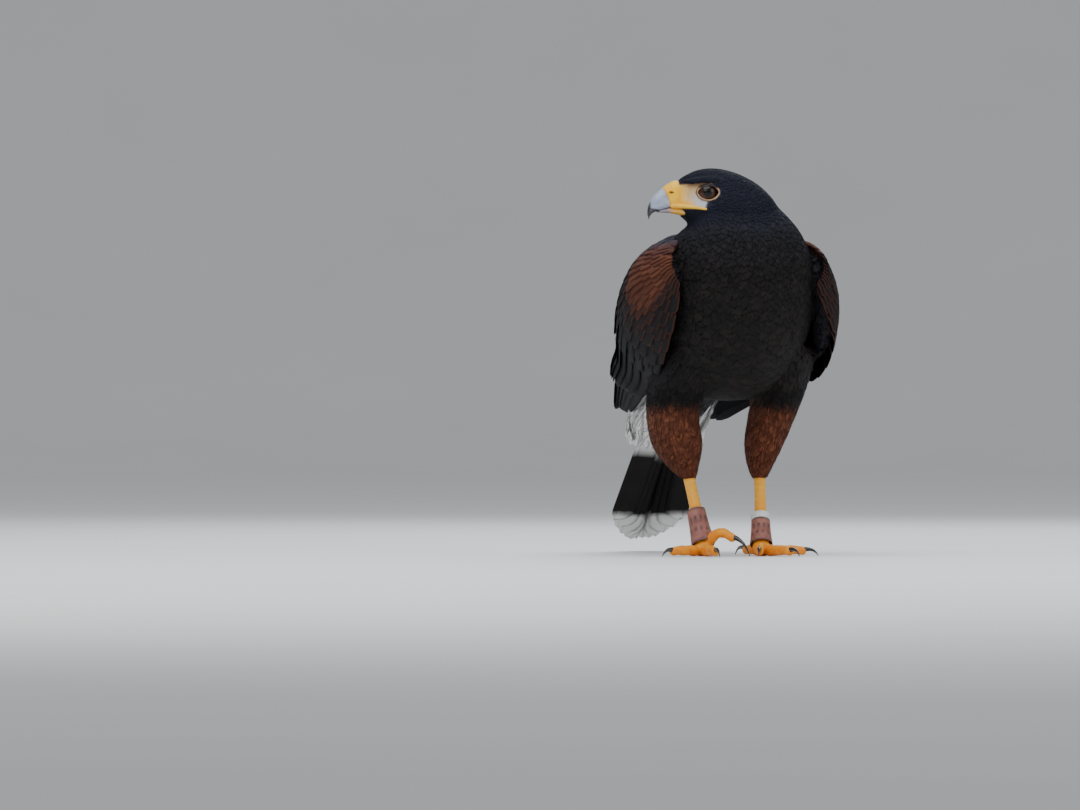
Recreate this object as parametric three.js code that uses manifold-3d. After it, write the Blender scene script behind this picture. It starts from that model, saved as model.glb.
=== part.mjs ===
// A Harris's hawk standing with its head turned over its right shoulder, as a still, life-size model.
// Millimetres, +Z up. The bird faces -Y, its left side is +X, and the floor is at Z = 0.

import * as THREE from "three";
import { mergeVertices } from "three/addons/utils/BufferGeometryUtils.js";
import Module from "manifold-3d";

const wasm = await Module();
wasm.setup();

const { CatmullRomCurve3, Matrix4, Vector3 } = THREE;
const RIGHT = -1;
const LEFT = 1;
const gap = 0.3; // space that touching pieces keep
const deg = Math.PI / 180;

// Driving sizes of the bird
const headTurn = 98 * deg; // from straight ahead, towards the bird's right
const headPlace = new Vector3(-39, -43, 316.2); // midway between the eyes
const tailLength = 220; // tail feathers, root to tip
const tailSlope = 47 * deg; // below level
const tailRoot = new Vector3(0, 134, 175);

// Body, from inside the head to the end of the tail coverts: the middle of each section,
// then its half width, its reach towards the breast side and its reach towards the back.
const bodyStations = [
  [[-11, -42, 314], [19, 13, 15]],
  [[-12, -43, 304], [33, 20, 22]],
  [[-10, -44, 290], [46, 31, 29]],
  [[-11, -43, 275], [59, 45, 34]],
  [[-10, -37, 258], [67, 60, 39]],
  [[-7, -21, 240], [70, 73, 47]],
  [[-5, 3, 222], [72, 80, 52]],
  [[-3, 31, 207], [71, 78, 50]],
  [[-1, 58, 196], [68, 67, 42]],
  [[0, 86, 187], [56, 53, 32]],
  [[-1, 112, 177], [43, 43, 23]],
  [[-3, 135, 163], [38, 38, 18]],
  [[-7, 158, 142], [38, 31, 14]],
  [[-10, 182, 117], [38, 22, 10]],
  [[-9, 200, 98], [35, 15, 8]],
  [[-8, 212, 85], [31, 12, 6]],
];
const neckCut = 2.2; // stations where the body is parted
const breastCut = 4.0;
const tailCut = 10.6;

// The folded wing as three rails from front to tip, each point [outwards, back, up]:
// its lower edge, the bulge that its side leans to, and its upper edge along the back.
const wingRails = {
  lower: [
    [64, -64, 234],
    [82, -46, 190],
    [84, 2, 160],
    [67, 60, 143],
    [57, 120, 131],
    [52, 178, 121],
    [46, 222, 116],
  ],
  side: [
    [80, -66, 262],
    [104, -30, 245],
    [112, 24, 224],
    [118, 78, 194],
    [103, 136, 166],
    [72, 190, 142],
    [50, 226, 120],
  ],
  upper: [
    [48, -42, 276],
    [51, -8, 280],
    [38, 40, 269],
    [27, 92, 233],
    [29, 142, 194],
    [39, 192, 154],
    [48, 226, 123],
  ],
};
const shoulderShift = -10; // the shoulders turn a little with the head

// How each wing is held: its tip's height above those rails, how far its shoulder
// bulges out, and how far its lower edge is tucked in towards the thigh.
const wingHold = {
  right: { hitch: 9, bulge: 26, tuck: 22 },
  left: { hitch: 0, bulge: 0, tuck: 0 },
};

const colours = {
  black: { color: 0x1b1818, roughness: 0.75 },
  slate: { color: 0x24232b, roughness: 0.7 },
  rufous: { color: 0x5a2716, roughness: 0.8 },
  white: { color: 0xd9d6d0, roughness: 0.85 },
  yellow: { color: 0xe8b23c, roughness: 0.5 },
  horn: { color: 0x8f97a8, roughness: 0.35 },
  claw: { color: 0x151313, roughness: 0.3 },
  eye: { color: 0x2c1509, roughness: 0.08 },
  hide: { color: 0x8a4b41, roughness: 0.7 },
  band: { color: 0xcfd6cb, roughness: 0.4 },
};

// Points and curves

const vec = (p) => new Vector3(...p);
const curveOf = (points) => new CatmullRomCurve3(points.map(vec), false, "catmullrom", 0.5);
const lerp = (a, b, u) => a + (b - a) * u;
const smooth = (u) => u * u * (3 - 2 * u);
const clamp01 = (u) => Math.min(1, Math.max(0, u));
const powered = (value, power) => Math.sign(value) * Math.abs(value) ** power;

// Solids

// A closed mesh as a manifold-3d solid, turned so that its faces point out.
function solid(geometry) {
  const bare = new THREE.BufferGeometry().setAttribute("position", geometry.getAttribute("position"));
  if (geometry.index) bare.setIndex(geometry.index);
  const merged = mergeVertices(bare, 1e-4);
  const triVerts = new Uint32Array(merged.index.array);
  const vertProperties = merged.attributes.position.array;
  const made = new wasm.Manifold(new wasm.Mesh({ numProp: 3, vertProperties, triVerts }));
  if (made.volume() > 0) return made;
  for (let i = 0; i < triVerts.length; i += 3) {
    [triVerts[i + 1], triVerts[i + 2]] = [triVerts[i + 2], triVerts[i + 1]];
  }
  return new wasm.Manifold(new wasm.Mesh({ numProp: 3, vertProperties, triVerts }));
}

function geometryOf(made) {
  const { numProp, numVert, vertProperties, triVerts } = made.getMesh();
  const positions = new Float32Array(numVert * 3);
  for (let i = 0; i < numVert; i++) {
    const start = i * numProp;
    positions.set(vertProperties.subarray(start, start + 3), i * 3);
  }
  const geometry = new THREE.BufferGeometry();
  geometry.setAttribute("position", new THREE.BufferAttribute(positions, 3));
  geometry.setIndex(new THREE.BufferAttribute(new Uint32Array(triVerts), 1));
  geometry.computeVertexNormals();
  return geometry;
}

// Only the largest closed surface of a solid, without loose scraps.
const largest = (made) => made.decompose().sort((a, b) => b.volume() - a.volume())[0];

const joined = (pieces) => pieces.reduce((sum, piece) => sum.add(piece));

// The room that a solid takes, as copies of it moved a gap each way.
function roomAround(made) {
  const ways = [[1, 0, 0], [-1, 0, 0], [0, 1, 0], [0, -1, 0], [0, 0, -1]];
  const copies = ways.map((way) => {
    const move = new Matrix4().makeTranslation(vec(way).multiplyScalar(gap));
    return made.transform(move.toArray());
  });
  return joined([made, ...copies]);
}

function meshFrom(positions, indices) {
  const geometry = new THREE.BufferGeometry();
  geometry.setAttribute("position", new THREE.Float32BufferAttribute(positions, 3));
  geometry.setIndex(indices);
  return geometry;
}

// A closed skin over rings of points, each end shut by a fan from its middle.
function loft(rings) {
  const around = rings[0].length;
  const positions = rings.flat().flatMap((p) => [p.x, p.y, p.z]);
  const indices = [];
  for (let k = 0; k < rings.length - 1; k++) {
    for (let i = 0; i < around; i++) {
      const a = k * around + i;
      const b = k * around + ((i + 1) % around);
      indices.push(a, b, b + around, a, b + around, a + around);
    }
  }
  [0, rings.length - 1].forEach((k) => {
    const middle = rings[k].reduce((sum, p) => sum.add(p), new Vector3()).divideScalar(around);
    const hub = positions.length / 3;
    positions.push(middle.x, middle.y, middle.z);
    for (let i = 0; i < around; i++) {
      const a = k * around + i;
      const b = k * around + ((i + 1) % around);
      indices.push(...(k === 0 ? [b, a, hub] : [a, b, hub]));
    }
  });
  return solid(meshFrom(positions, indices));
}

// A thin plate over rows of points, both faces split alike, with its thickness set row by row.
function plate(rows) {
  const across = rows[0].points.length;
  const positions = [];
  [1, -1].forEach((face) => {
    rows.forEach(({ points, normal, thick }) => {
      const rise = (face * thick) / 2;
      points.forEach((p) => positions.push(...p.clone().addScaledVector(normal, rise).toArray()));
    });
  });
  const under = rows.length * across;
  const indices = [];
  const quad = (a, b, c, d) => indices.push(a, b, c, a, c, d);
  for (let k = 0; k < rows.length - 1; k++) {
    for (let i = 0; i < across - 1; i++) {
      const a = k * across + i;
      const d = a + across;
      quad(a, a + 1, d + 1, d);
      indices.push(under + a, under + d + 1, under + a + 1, under + a, under + d, under + d + 1);
    }
    const left = k * across;
    const right = left + across - 1;
    quad(left, left + across, under + left + across, under + left);
    quad(right, under + right, under + right + across, right + across);
  }
  for (let i = 0; i < across - 1; i++) {
    const last = (rows.length - 1) * across + i;
    quad(i + 1, i, under + i, under + i + 1);
    quad(last, last + 1, under + last + 1, under + last);
  }
  return solid(meshFrom(positions, indices));
}

// A round tube along a curve, its radius given along it, its height by flat and its end moved on by beyond.
function tube(curve, radiusAt, options) {
  const { rings, around, side = new Vector3(1, 0, 0), flat = 1, bump = () => 0, beyond = 0 } = options;
  const made = [];
  for (let k = 0; k < rings; k++) {
    const u = k / (rings - 1);
    const middle = curve.getPoint(u);
    const along = curve.getTangent(u);
    if (k === rings - 1) middle.addScaledVector(along, beyond);
    const up = side.clone().cross(along).normalize();
    const out = along.clone().cross(up).normalize();
    const radius = radiusAt(u);
    made.push(
      Array.from({ length: around }, (_, i) => {
        const turn = (2 * Math.PI * i) / around;
        const reach = radius + bump(u, turn);
        return middle
          .clone()
          .addScaledVector(out, reach * Math.cos(turn))
          .addScaledVector(up, reach * flat * Math.sin(turn));
      }),
    );
  }
  return loft(made);
}

// Body: head end, neck, torso and tail base share one skin

const bodyLine = curveOf(bodyStations.map(([middle]) => middle));
const bodyGirth = curveOf(bodyStations.map(([, girth]) => girth));
const bodySquareness = 2.35;
const lastStation = bodyStations.length - 1;

// The place on the body's skin at a station number and a turn from the bird's left side over its back.
function bodyPoint(station, turn, grow = 0) {
  const u = station / lastStation;
  const middle = bodyLine.getPoint(u);
  const along = bodyLine.getTangent(u);
  const back = new Vector3(0, -along.z, along.y).normalize();
  const [half, belly, spine] = bodyGirth.getPoint(u).toArray();
  const power = 2 / bodySquareness;
  const reach = Math.sin(turn) > 0 ? spine : belly;
  return middle
    .clone()
    .addScaledVector(new Vector3(1, 0, 0), (half + grow) * powered(Math.cos(turn), power))
    .addScaledVector(back, (reach + grow) * powered(Math.sin(turn), power));
}

const bodyRing = (station, around, grow) =>
  Array.from({ length: around }, (_, i) => bodyPoint(station, (2 * Math.PI * i) / around, grow));

function bodySolid(grow = 0) {
  const around = 20;
  const perStation = 2;
  const count = lastStation * perStation + 1;
  return loft(Array.from({ length: count }, (_, k) => bodyRing(k / perStation, around, grow)));
}

// The part of a solid between two stations of the body, half a gap short of each cut.
function between(made, from, to) {
  const cut = (whole, station, way) => {
    const along = bodyLine.getTangent(station / lastStation).multiplyScalar(way);
    const offset = along.dot(bodyLine.getPoint(station / lastStation)) + gap / 2;
    return whole.trimByPlane(along.toArray(), offset);
  };
  let kept = made;
  if (from !== null) kept = cut(kept, from, 1);
  if (to !== null) kept = cut(kept, to, -1);
  return largest(kept);
}

// Head, in its own frame: X forwards, Y to its left, Z up, from midway between the eyes.
// Each station is [forwards, top, bottom, half width, height of the widest place].
const headStations = [
  [31.5, 8.4, -17, 8.5, -5],
  [27, 11.6, -20, 10.5, -5],
  [20, 16, -26, 14.5, -5],
  [12, 19.6, -31.5, 18.6, -4],
  [3, 21.6, -35, 21.8, -4],
  [-8, 21.6, -37, 24, -5],
  [-20, 18.9, -38, 25.6, -7],
  [-32, 14, -37, 25, -9],
  [-44, 6.6, -33, 21.5, -12],
  [-54, -3, -30, 15, -15],
  [-60, -11, -25, 6, -18],
];
const eye = { forwards: 2, height: 0.3, outwards: 11.4, radius: 9.4, opening: 7.6 };
const headMatrix = new Matrix4()
  .makeTranslation(headPlace)
  .multiply(new Matrix4().makeRotationZ(Math.atan2(-Math.cos(headTurn), -Math.sin(headTurn))));

const onHead = (made) => made.transform(headMatrix.toArray());

function sphere(centre, radius, detail = 12) {
  const ball = new THREE.SphereGeometry(radius, detail, Math.round(detail * 0.6));
  ball.translate(...centre);
  return solid(ball);
}

const skullSquareness = 0.92;

function skull() {
  const around = 18;
  const top = curveOf(headStations.map(([x, high, low]) => [x, high, low]));
  const wide = curveOf(headStations.map(([x, , , half, middle]) => [x, half, middle]));
  const count = 12;
  const rings = Array.from({ length: count }, (_, k) => {
    const u = k / (count - 1);
    const [x, high, low] = top.getPoint(u).toArray();
    const [, half, middle] = wide.getPoint(u).toArray();
    return Array.from({ length: around }, (_, i) => {
      const turn = (2 * Math.PI * i) / around;
      const rise = Math.sin(turn) > 0 ? high - middle : middle - low;
      const across = half * powered(Math.cos(turn), skullSquareness);
      return new Vector3(x, across, middle + rise * powered(Math.sin(turn), skullSquareness));
    });
  });
  return loft(rings);
}

// The bony ridge over each eye, from the lores to behind the eye.
function brow(side) {
  const line = curveOf([
    [24, side * 8.6, 9.4],
    [15, side * 15, 10],
    [4, side * 17.9, 10.6],
    [-8, side * 19.2, 9.8],
    [-20, side * 19.6, 4],
  ]);
  return tube(line, (u) => 1.6 + 2.9 * Math.sin(Math.PI * clamp01(0.06 + u * 0.86)), {
    rings: 5,
    around: 6,
    side: new Vector3(0, side, 0),
    flat: 0.8,
  });
}

// The bare lids as a raised ring round the opening of the eye.
function lids(side) {
  const section = [];
  const sides = 5;
  for (let i = 0; i <= sides; i++) {
    const turn = (2 * Math.PI * i) / sides;
    section.push(new THREE.Vector2(eye.opening + 1.1 + 1.2 * Math.cos(turn), 1.5 * Math.sin(turn)));
  }
  const ring = new THREE.LatheGeometry(section, 14);
  ring.scale(1, 1, 0.9);
  ring.translate(eye.forwards, side * 19.6, eye.height);
  return solid(ring);
}

function eyeSocket(side) {
  const hole = new THREE.CylinderGeometry(eye.opening, eye.opening, 14, 14);
  hole.scale(1, 1, 0.9);
  hole.translate(eye.forwards, side * (eye.outwards + 11), eye.height);
  const centre = [eye.forwards, side * eye.outwards, eye.height];
  return solid(hole).add(sphere(centre, eye.radius + gap));
}

const eyeball = (side) => sphere([eye.forwards, side * eye.outwards, eye.height], eye.radius);

// The shallow hollow that the eye and the lores lie in.
function faceHollow(side) {
  const dish = new THREE.SphereGeometry(1, 10, 6);
  dish.scale(19, 7, 9.5);
  dish.translate(8, side * 25.6, -1.4);
  return solid(dish);
}

// The slit of each ear, under the feathers behind and below the eye.
function earCup(side) {
  const cup = new THREE.SphereGeometry(1, 8, 6);
  cup.scale(3.2, 2.2, 4.6);
  cup.translate(-19, side * 26.2, -9);
  return solid(cup);
}

// Bill: sections leaning from the top edge to the biting edge, each [top, bottom, half width]
const billSections = [
  [[41, 3.2], [33.5, -13.6], 7.4],
  [[45.4, -0.4], [39, -14.9], 6.6],
  [[49, -4.6], [44, -16.2], 5.4],
  [[51.6, -9], [47.2, -17.2], 4],
  [[53.2, -14], [49.8, -18.8], 2.7],
  [[53.6, -19], [51.6, -21.2], 1.5],
  [[52.6, -23.2], [52, -23.6], 0.4],
];
const cereSections = [
  [[27, 12.2], [20, -15.5], 10],
  [[31.4, 9.4], [25, -14.8], 9.6],
  [[36, 6.4], [29.6, -14.2], 8.8],
  [[40.7, 3.4], [33.2, -13.6], 7.7],
];
const lowerSections = [
  [[20, -13], [20, -21.6], 9.8],
  [[27, -13], [27, -19.8], 8.4],
  [[34, -13.2], [35, -18.4], 6.6],
  [[40, -14.2], [41, -18], 4.9],
  [[45, -15.6], [45.6, -17.6], 2.4],
];

// Rings across a bill part, from its top edge to its bottom edge.
function billPart(sections, around, perSection, power) {
  const tops = curveOf(sections.map(([t, , w]) => [t[0], w, t[1]]));
  const bottoms = curveOf(sections.map(([, b]) => [b[0], 0, b[1]]));
  const count = (sections.length - 1) * perSection + 1;
  const rings = Array.from({ length: count }, (_, k) => {
    const u = k / (count - 1);
    const high = tops.getPoint(u);
    const half = high.y;
    high.y = 0;
    const low = bottoms.getPoint(u);
    const middle = high.clone().lerp(low, 0.56);
    const rise = high.clone().sub(middle);
    const fall = low.clone().sub(middle);
    return Array.from({ length: around }, (_, i) => {
      const turn = (2 * Math.PI * i) / around;
      const lift = Math.sin(turn);
      return middle
        .clone()
        .addScaledVector(new Vector3(0, 1, 0), half * powered(Math.cos(turn), power))
        .addScaledVector(lift > 0 ? rise : fall, Math.abs(powered(lift, power)));
    });
  });
  return loft(rings);
}

// The fleshy yellow edge of the mouth, from the bill back to below the eye.
function gapeFlange(side, grow = 0) {
  const line = curveOf([
    [32, side * 7.2, -12.2],
    [23, side * 11, -12.7],
    [13, side * 15.6, -13.6],
    [4 - grow, side * (19 + grow * 0.3), -15 - grow * 0.1],
  ]);
  const radiusAt = (u) => lerp(2.5, 1.3, u) + grow * 1.15;
  return tube(line, radiusAt, { rings: 6, around: 8, side: new Vector3(0, side, 0), flat: 0.85 });
}

function nostril(side) {
  const hole = new THREE.SphereGeometry(1, 8, 6);
  hole.scale(1.7, 2.4, 1.1);
  hole.rotateY(-25 * deg);
  hole.translate(33.8, side * 9.3, -0.6);
  return solid(hole);
}

const faceEnd = 27.6; // where the head gives way to the bill

function headParts() {
  const cere = joined([billPart(cereSections, 12, 1, 0.8), gapeFlange(LEFT), gapeFlange(RIGHT)])
    .subtract(nostril(LEFT))
    .subtract(nostril(RIGHT));
  const upper = billPart(billSections, 12, 2, 0.8);
  const lower = billPart(lowerSections, 10, 1, 0.85);
  const roomy = (sections, back, grow = gap) =>
    sections.map(([t, b, w], k) => {
      const shift = k === 0 ? back : 0;
      return [[t[0] - shift, t[1] + grow], [b[0] - shift, b[1] - grow], w + grow];
    });
  const front = billPart(roomy(cereSections, gap), 12, 1, 0.8);
  const frontWide = billPart(roomy(cereSections, gap, gap * 1.7), 12, 1, 0.8);
  const flangeRoom = [LEFT, RIGHT].map((side) => gapeFlange(side, gap));
  const lowerRoom = billPart(roomy(lowerSections, gap), 10, 1, 0.85);
  let head = joined([skull(), brow(LEFT), brow(RIGHT)])
    .subtract(faceHollow(LEFT))
    .subtract(faceHollow(RIGHT));
  head = joined([head, lids(LEFT), lids(RIGHT)]);
  const hollows = [LEFT, RIGHT].flatMap((side) => [eyeSocket(side), earCup(side)]);
  head = [...hollows, front, ...flangeRoom, lowerRoom].reduce((made, cutter) => made.subtract(cutter), head);
  const lowerBill = lower.subtract(frontWide).subtract(flangeRoom[0]).subtract(flangeRoom[1]);
  return {
    head: head.trimByPlane([-1, 0, 0], -faceEnd),
    cere: largest(cere),
    bill_upper: upper,
    bill_lower: largest(lowerBill.subtract(roomAround(upper))),
    eye_left: eyeball(LEFT),
    eye_right: eyeball(RIGHT),
  };
}

// Wing

const railNames = ["lower", "side", "upper"];
const rails = railNames.map((name) => curveOf(wingRails[name]));

// A place on the folded wing's outer side: s runs from front to tip, t from the lower to the upper edge.
function wingSkin(side, s, t) {
  const weights = [(1 - t) ** 2, 2 * t * (1 - t), t * t];
  const place = new Vector3();
  rails.forEach((rail, i) => place.addScaledVector(rail.getPoint(clamp01(s)), weights[i]));
  const hold = side > 0 ? wingHold.left : wingHold.right;
  place.x += hold.bulge * weights[1] * Math.sin(Math.PI * clamp01(s / 0.55));
  place.x -= hold.tuck * weights[0] * Math.sin(Math.PI * clamp01(s / 0.6));
  place.x = place.x * side + shoulderShift * smooth(clamp01((110 - place.y) / 150));
  place.z += hold.hitch * s ** 3;
  return place;
}

function wingFrame(side, s, t) {
  const step = 0.012;
  const place = wingSkin(side, s, t);
  const wayTo = (from, to) => to.sub(from).normalize();
  const along = wayTo(wingSkin(side, Math.max(0, s - step), t), wingSkin(side, Math.min(1, s + step), t));
  const upward = wayTo(wingSkin(side, s, clamp01(t - step)), wingSkin(side, s, clamp01(t + step)));
  const out = upward.clone().cross(along).normalize();
  if (out.x * side < 0 && Math.abs(out.x) > 0.05) out.negate();
  return { place, along, out };
}

// The arm and shoulder under the feathers, thickest at the front.
function wingArm(side) {
  const reach = 0.6;
  const columns = 7;
  const rows = 7;
  const rings = [];
  for (let k = 0; k < rows; k++) {
    const s = reach * (k / (rows - 1)) + 0.002;
    const depth = lerp(24, 5, smooth(k / (rows - 1)));
    const under = lerp(1.2, 7.5, clamp01((s - 0.08) / 0.4));
    const outer = [];
    const inner = [];
    for (let i = 0; i < columns; i++) {
      const t = 0.03 + (0.94 * i) / (columns - 1);
      const { place, out } = wingFrame(side, s, t);
      const rim = Math.sqrt(Math.max(0.06, 4 * t * (1 - t)));
      outer.push(place.clone().addScaledVector(out, -under));
      inner.push(place.clone().addScaledVector(out, -under - depth * rim));
    }
    rings.push([...outer, ...inner.reverse()]);
  }
  return loft(rings);
}

const vaneThick = 0.6;
const rootShare = 0.34; // width of a vane at its root, of its full width

// One feather on a skin: a vane from a root place to a tip place, its root sunk and its tip lifted.
function vane(frameAt, { root, tip, inner, outer, sink, lift, roll, steps, blunt = 0.5 }) {
  const places = [];
  for (let k = 0; k <= steps; k++) {
    const u = k / steps;
    const frame = frameAt(lerp(root[0], tip[0], u), lerp(root[1], tip[1], u));
    places.push(frame.place.addScaledVector(frame.out, lerp(-sink, lift, clamp01(u * 2.2))));
    places[k].out = frame.out;
  }
  const rows = places.map((place, k) => {
    const u = k / steps;
    const ahead = places[Math.min(steps, k + 1)].clone().sub(places[Math.max(0, k - 1)]).normalize();
    const across = place.out.clone().cross(ahead).normalize().applyAxisAngle(ahead, roll);
    const normal = ahead.clone().cross(across).normalize();
    const end = k === steps;
    const share = lerp(rootShare, 1, smooth(clamp01(u / 0.4))) * (end ? blunt : 1);
    const points = [-inner, outer].map((reach) => place.clone().addScaledVector(across, reach * share));
    return { points, normal, thick: vaneThick * (end ? 0.75 : 1) };
  });
  return plate(rows);
}

// Feather tiers of the wing from its tip forwards, each spread evenly between its first and last
// feather: their roots and tips as [along, up] the wing, half widths, and roll in degrees.
const wingTiers = [
  {
    count: 6,
    root: [[0.2, 0.1], [0.26, 0.4]],
    tip: [[0.93, 0.02], [0.995, 0.8]],
    half: [8, 7],
    sink: 9,
    lift: -5.5,
    roll: 6,
    steps: 4,
  },
  {
    count: 7,
    root: [[0.27, 0.14], [0.24, 0.86]],
    tip: [[0.62, 0.06], [0.8, 0.9]],
    half: [11, 12],
    sink: 6,
    lift: -1.5,
    roll: 8,
    steps: 4,
  },
  {
    count: 7,
    root: [[0.19, 0.12], [0.16, 0.86]],
    tip: [[0.4, 0.06], [0.5, 0.92]],
    half: [11, 12],
    sink: 5,
    lift: 1.2,
    roll: 8,
    steps: 3,
  },
  {
    count: 6,
    root: [[0.1, 0.12], [0.07, 0.86]],
    tip: [[0.26, 0.07], [0.32, 0.92]],
    half: [11.5, 12],
    sink: 5,
    lift: 2.6,
    roll: 8,
    steps: 3,
  },
  {
    count: 5,
    root: [[0.02, 0.16], [0.01, 0.84]],
    tip: [[0.145, 0.1], [0.18, 0.92]],
    half: [11, 13],
    sink: 4,
    lift: 3.6,
    roll: 8,
    steps: 2,
  },
];
const leadingWeb = 0.8; // width of a vane's leading web, of its trailing one

function wingSolid(side, rooms) {
  const frameAt = (s, t) => wingFrame(side, s, t);
  const pieces = [wingArm(side)];
  wingTiers.forEach(({ count, root, tip, half, sink, lift, roll, steps }) => {
    for (let i = 0; i < count; i++) {
      const u = i / (count - 1);
      const mixed = ([a, b]) => [lerp(a[0], b[0], u), lerp(a[1], b[1], u)];
      const webs = [lerp(half[0], half[1], u), lerp(half[0], half[1], u) * leadingWeb];
      const [inner, outer] = side > 0 ? webs : webs.reverse();
      const bit = { root: mixed(root), tip: mixed(tip), inner, outer, sink, lift, steps };
      pieces.push(vane(frameAt, { ...bit, roll: -side * roll * deg }));
    }
  });
  return largest(rooms.reduce((kept, room) => kept.subtract(room), joined(pieces)));
}

// Tail

const tailDown = new Vector3(0, Math.cos(tailSlope), -Math.sin(tailSlope));
const tailUp = new Vector3(0, Math.sin(tailSlope), Math.cos(tailSlope));
const tail = {
  perSide: 6,
  pitchRoot: 3.6, // from one feather's shaft to the next
  pitchTip: 5.8,
  layer: 0.98, // each feather lies this far under its inner neighbour
  arch: 4,
  outerWeb: 5,
  innerWeb: 17,
  step: 33, // how much shorter the outermost feather is
  sway: -4, // how far the tips are carried to the right
};

// One tail feather, counted from the middle out, under its inner neighbour. The left one of the
// middle pair lies over the right one, which starts the right side a layer lower.
function tailFeather(side, i) {
  const offset = (u) => side * (2.6 + i * lerp(tail.pitchRoot, tail.pitchTip, u));
  const length = tailLength - tail.step * (i / (tail.perSide - 1)) ** 2;
  const steps = 4;
  const rows = [];
  for (let k = 0; k <= steps; k++) {
    const u = k / steps;
    const end = k === steps;
    const x = offset(u);
    const drop = (i + (side > 0 ? 0 : 1)) * tail.layer + tail.arch * (x / 34) ** 2;
    const place = tailRoot.clone().addScaledVector(tailDown, length * (end ? 1 : u * 0.985));
    place.addScaledVector(tailUp, -drop - 1);
    place.x = x + tail.sway * u;
    const crossing = side > 0 && i === 0 ? 4 : -0.3;
    const inner = Math.min(Math.abs(x) + crossing, tail.innerWeb) * (end ? 0.55 : 1);
    const outer = tail.outerWeb * (end ? 0.5 : 1);
    const edge = (reach) => place.clone().add(new Vector3(side * reach, 0, 0));
    const points = [edge(-inner), edge(outer)];
    rows.push({ points, normal: tailUp, thick: 0.56 });
  }
  return plate(rows);
}

// A feather on the body's skin, given by stations and turns.
function bodyFrame(station, turn) {
  const step = 0.05;
  const place = bodyPoint(station, turn);
  const along = bodyPoint(station + step, turn).sub(bodyPoint(station - step, turn)).normalize();
  const round = bodyPoint(station, turn + step).sub(bodyPoint(station, turn - step)).normalize();
  const out = along.clone().cross(round).normalize();
  const middle = bodyLine.getPoint(station / lastStation);
  if (out.dot(place.clone().sub(middle)) < 0) out.negate();
  return { place, along, out };
}

const covertTiers = [
  { count: 4, turns: [40, 140], stations: [11.1, 13.6], half: 11, lift: 2.2 },
  { count: 4, turns: [26, 154], stations: [12.6, 14.8], half: 12, lift: 1.4 },
  { count: 4, turns: [-142, -38], stations: [11.1, 13.5], half: 14, lift: 2.4 },
  { count: 4, turns: [-150, -30], stations: [12.5, 14.75], half: 14, lift: 1.4 },
];

function tailSolid(body) {
  const pieces = [between(body, tailCut, null)];
  for (const side of [RIGHT, LEFT]) {
    for (let i = 0; i < tail.perSide; i++) pieces.push(tailFeather(side, i));
  }
  covertTiers.forEach(({ count, turns, stations, half, lift }) => {
    for (let i = 0; i < count; i++) {
      const turn = lerp(turns[0], turns[1], i / (count - 1)) * deg;
      const bit = { root: [stations[0], turn], tip: [stations[1], turn], inner: half, outer: half };
      pieces.push(vane(bodyFrame, { ...bit, sink: 3, lift, roll: 6 * deg, steps: 3, blunt: 0.4 }));
    }
  });
  const whole = joined(pieces);
  const along = bodyLine.getTangent(tailCut / lastStation);
  const offset = along.dot(bodyLine.getPoint(tailCut / lastStation)) + gap / 2;
  return largest(whole.trimByPlane(along.toArray(), offset));
}

// Legs: each thigh station is [middle, half width, half depth]

const legs = {
  right: {
    side: RIGHT,
    thigh: [
      [[-40, -2, 180], 32, 40],
      [[-47, 16, 152], 28, 37],
      [[-49, 32, 125], 23, 31],
      [[-43, 39, 99], 22.5, 27],
      [[-38.5, 39, 81], 15, 18],
      [[-33, 36, 68], 6.2, 7],
    ],
    hock: [-32.8, 35.6, 67.4],
    foot: [-30, 3, 11],
  },
  left: {
    side: LEFT,
    thigh: [
      [[40, -2, 180], 32, 40],
      [[43.5, 16, 152], 26, 35],
      [[42.5, 32, 125], 21, 30],
      [[37, 39, 99], 17, 25],
      [[33.5, 39, 81], 11.5, 16],
      [[31.6, 36, 68], 6.2, 7],
    ],
    hock: [31.6, 35.6, 67.4],
    foot: [23, 3, 11],
  },
};

function thighSolid(leg, grow = 0) {
  const around = 14;
  const count = 10;
  const line = curveOf(leg.thigh.map(([middle]) => middle));
  const girth = curveOf(leg.thigh.map(([, wide, deep]) => [wide, deep, 0]));
  const rings = Array.from({ length: count }, (_, k) => {
    const u = k / (count - 1);
    const middle = line.getPoint(u);
    if (k === count - 1) middle.z -= grow;
    if (k === 0) middle.z += grow;
    const { x: wide, y: deep } = girth.getPoint(u);
    return Array.from({ length: around }, (_, i) => {
      const turn = (2 * Math.PI * i) / around;
      const reach = new Vector3((wide + grow) * Math.cos(turn), (deep + grow) * Math.sin(turn), 0);
      return reach.add(middle);
    });
  });
  return loft(rings);
}

const shank = { top: 5.6, middle: 4.9, bottom: 5.4, scutes: 9, raise: 0.55 };

function shankLine(leg) {
  const start = vec(leg.hock).add(new Vector3(0, 3, 6));
  return curveOf([start.toArray(), leg.hock, vec(leg.hock).lerp(vec(leg.foot), 0.5).toArray(), leg.foot]);
}

// The bare shank with raised scutes down its front, from inside the thigh's end to the foot.
function shankSolid(leg, thighRoom) {
  const line = shankLine(leg);
  const upper = (u) => lerp(shank.top, shank.middle, clamp01(u * 2));
  const radiusAt = (u) => lerp(upper(u), shank.bottom, clamp01(u * 2 - 1));
  const bump = (u, turn) => {
    const saw = (u * shank.scutes) % 1;
    const front = Math.max(0, -Math.sin(turn));
    return shank.raise * (saw < 0.5 ? 1 : 0) * front;
  };
  const made = tube(line, radiusAt, { rings: shank.scutes * 2 + 1, around: 8, bump });
  return largest(made.subtract(thighRoom));
}

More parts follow.
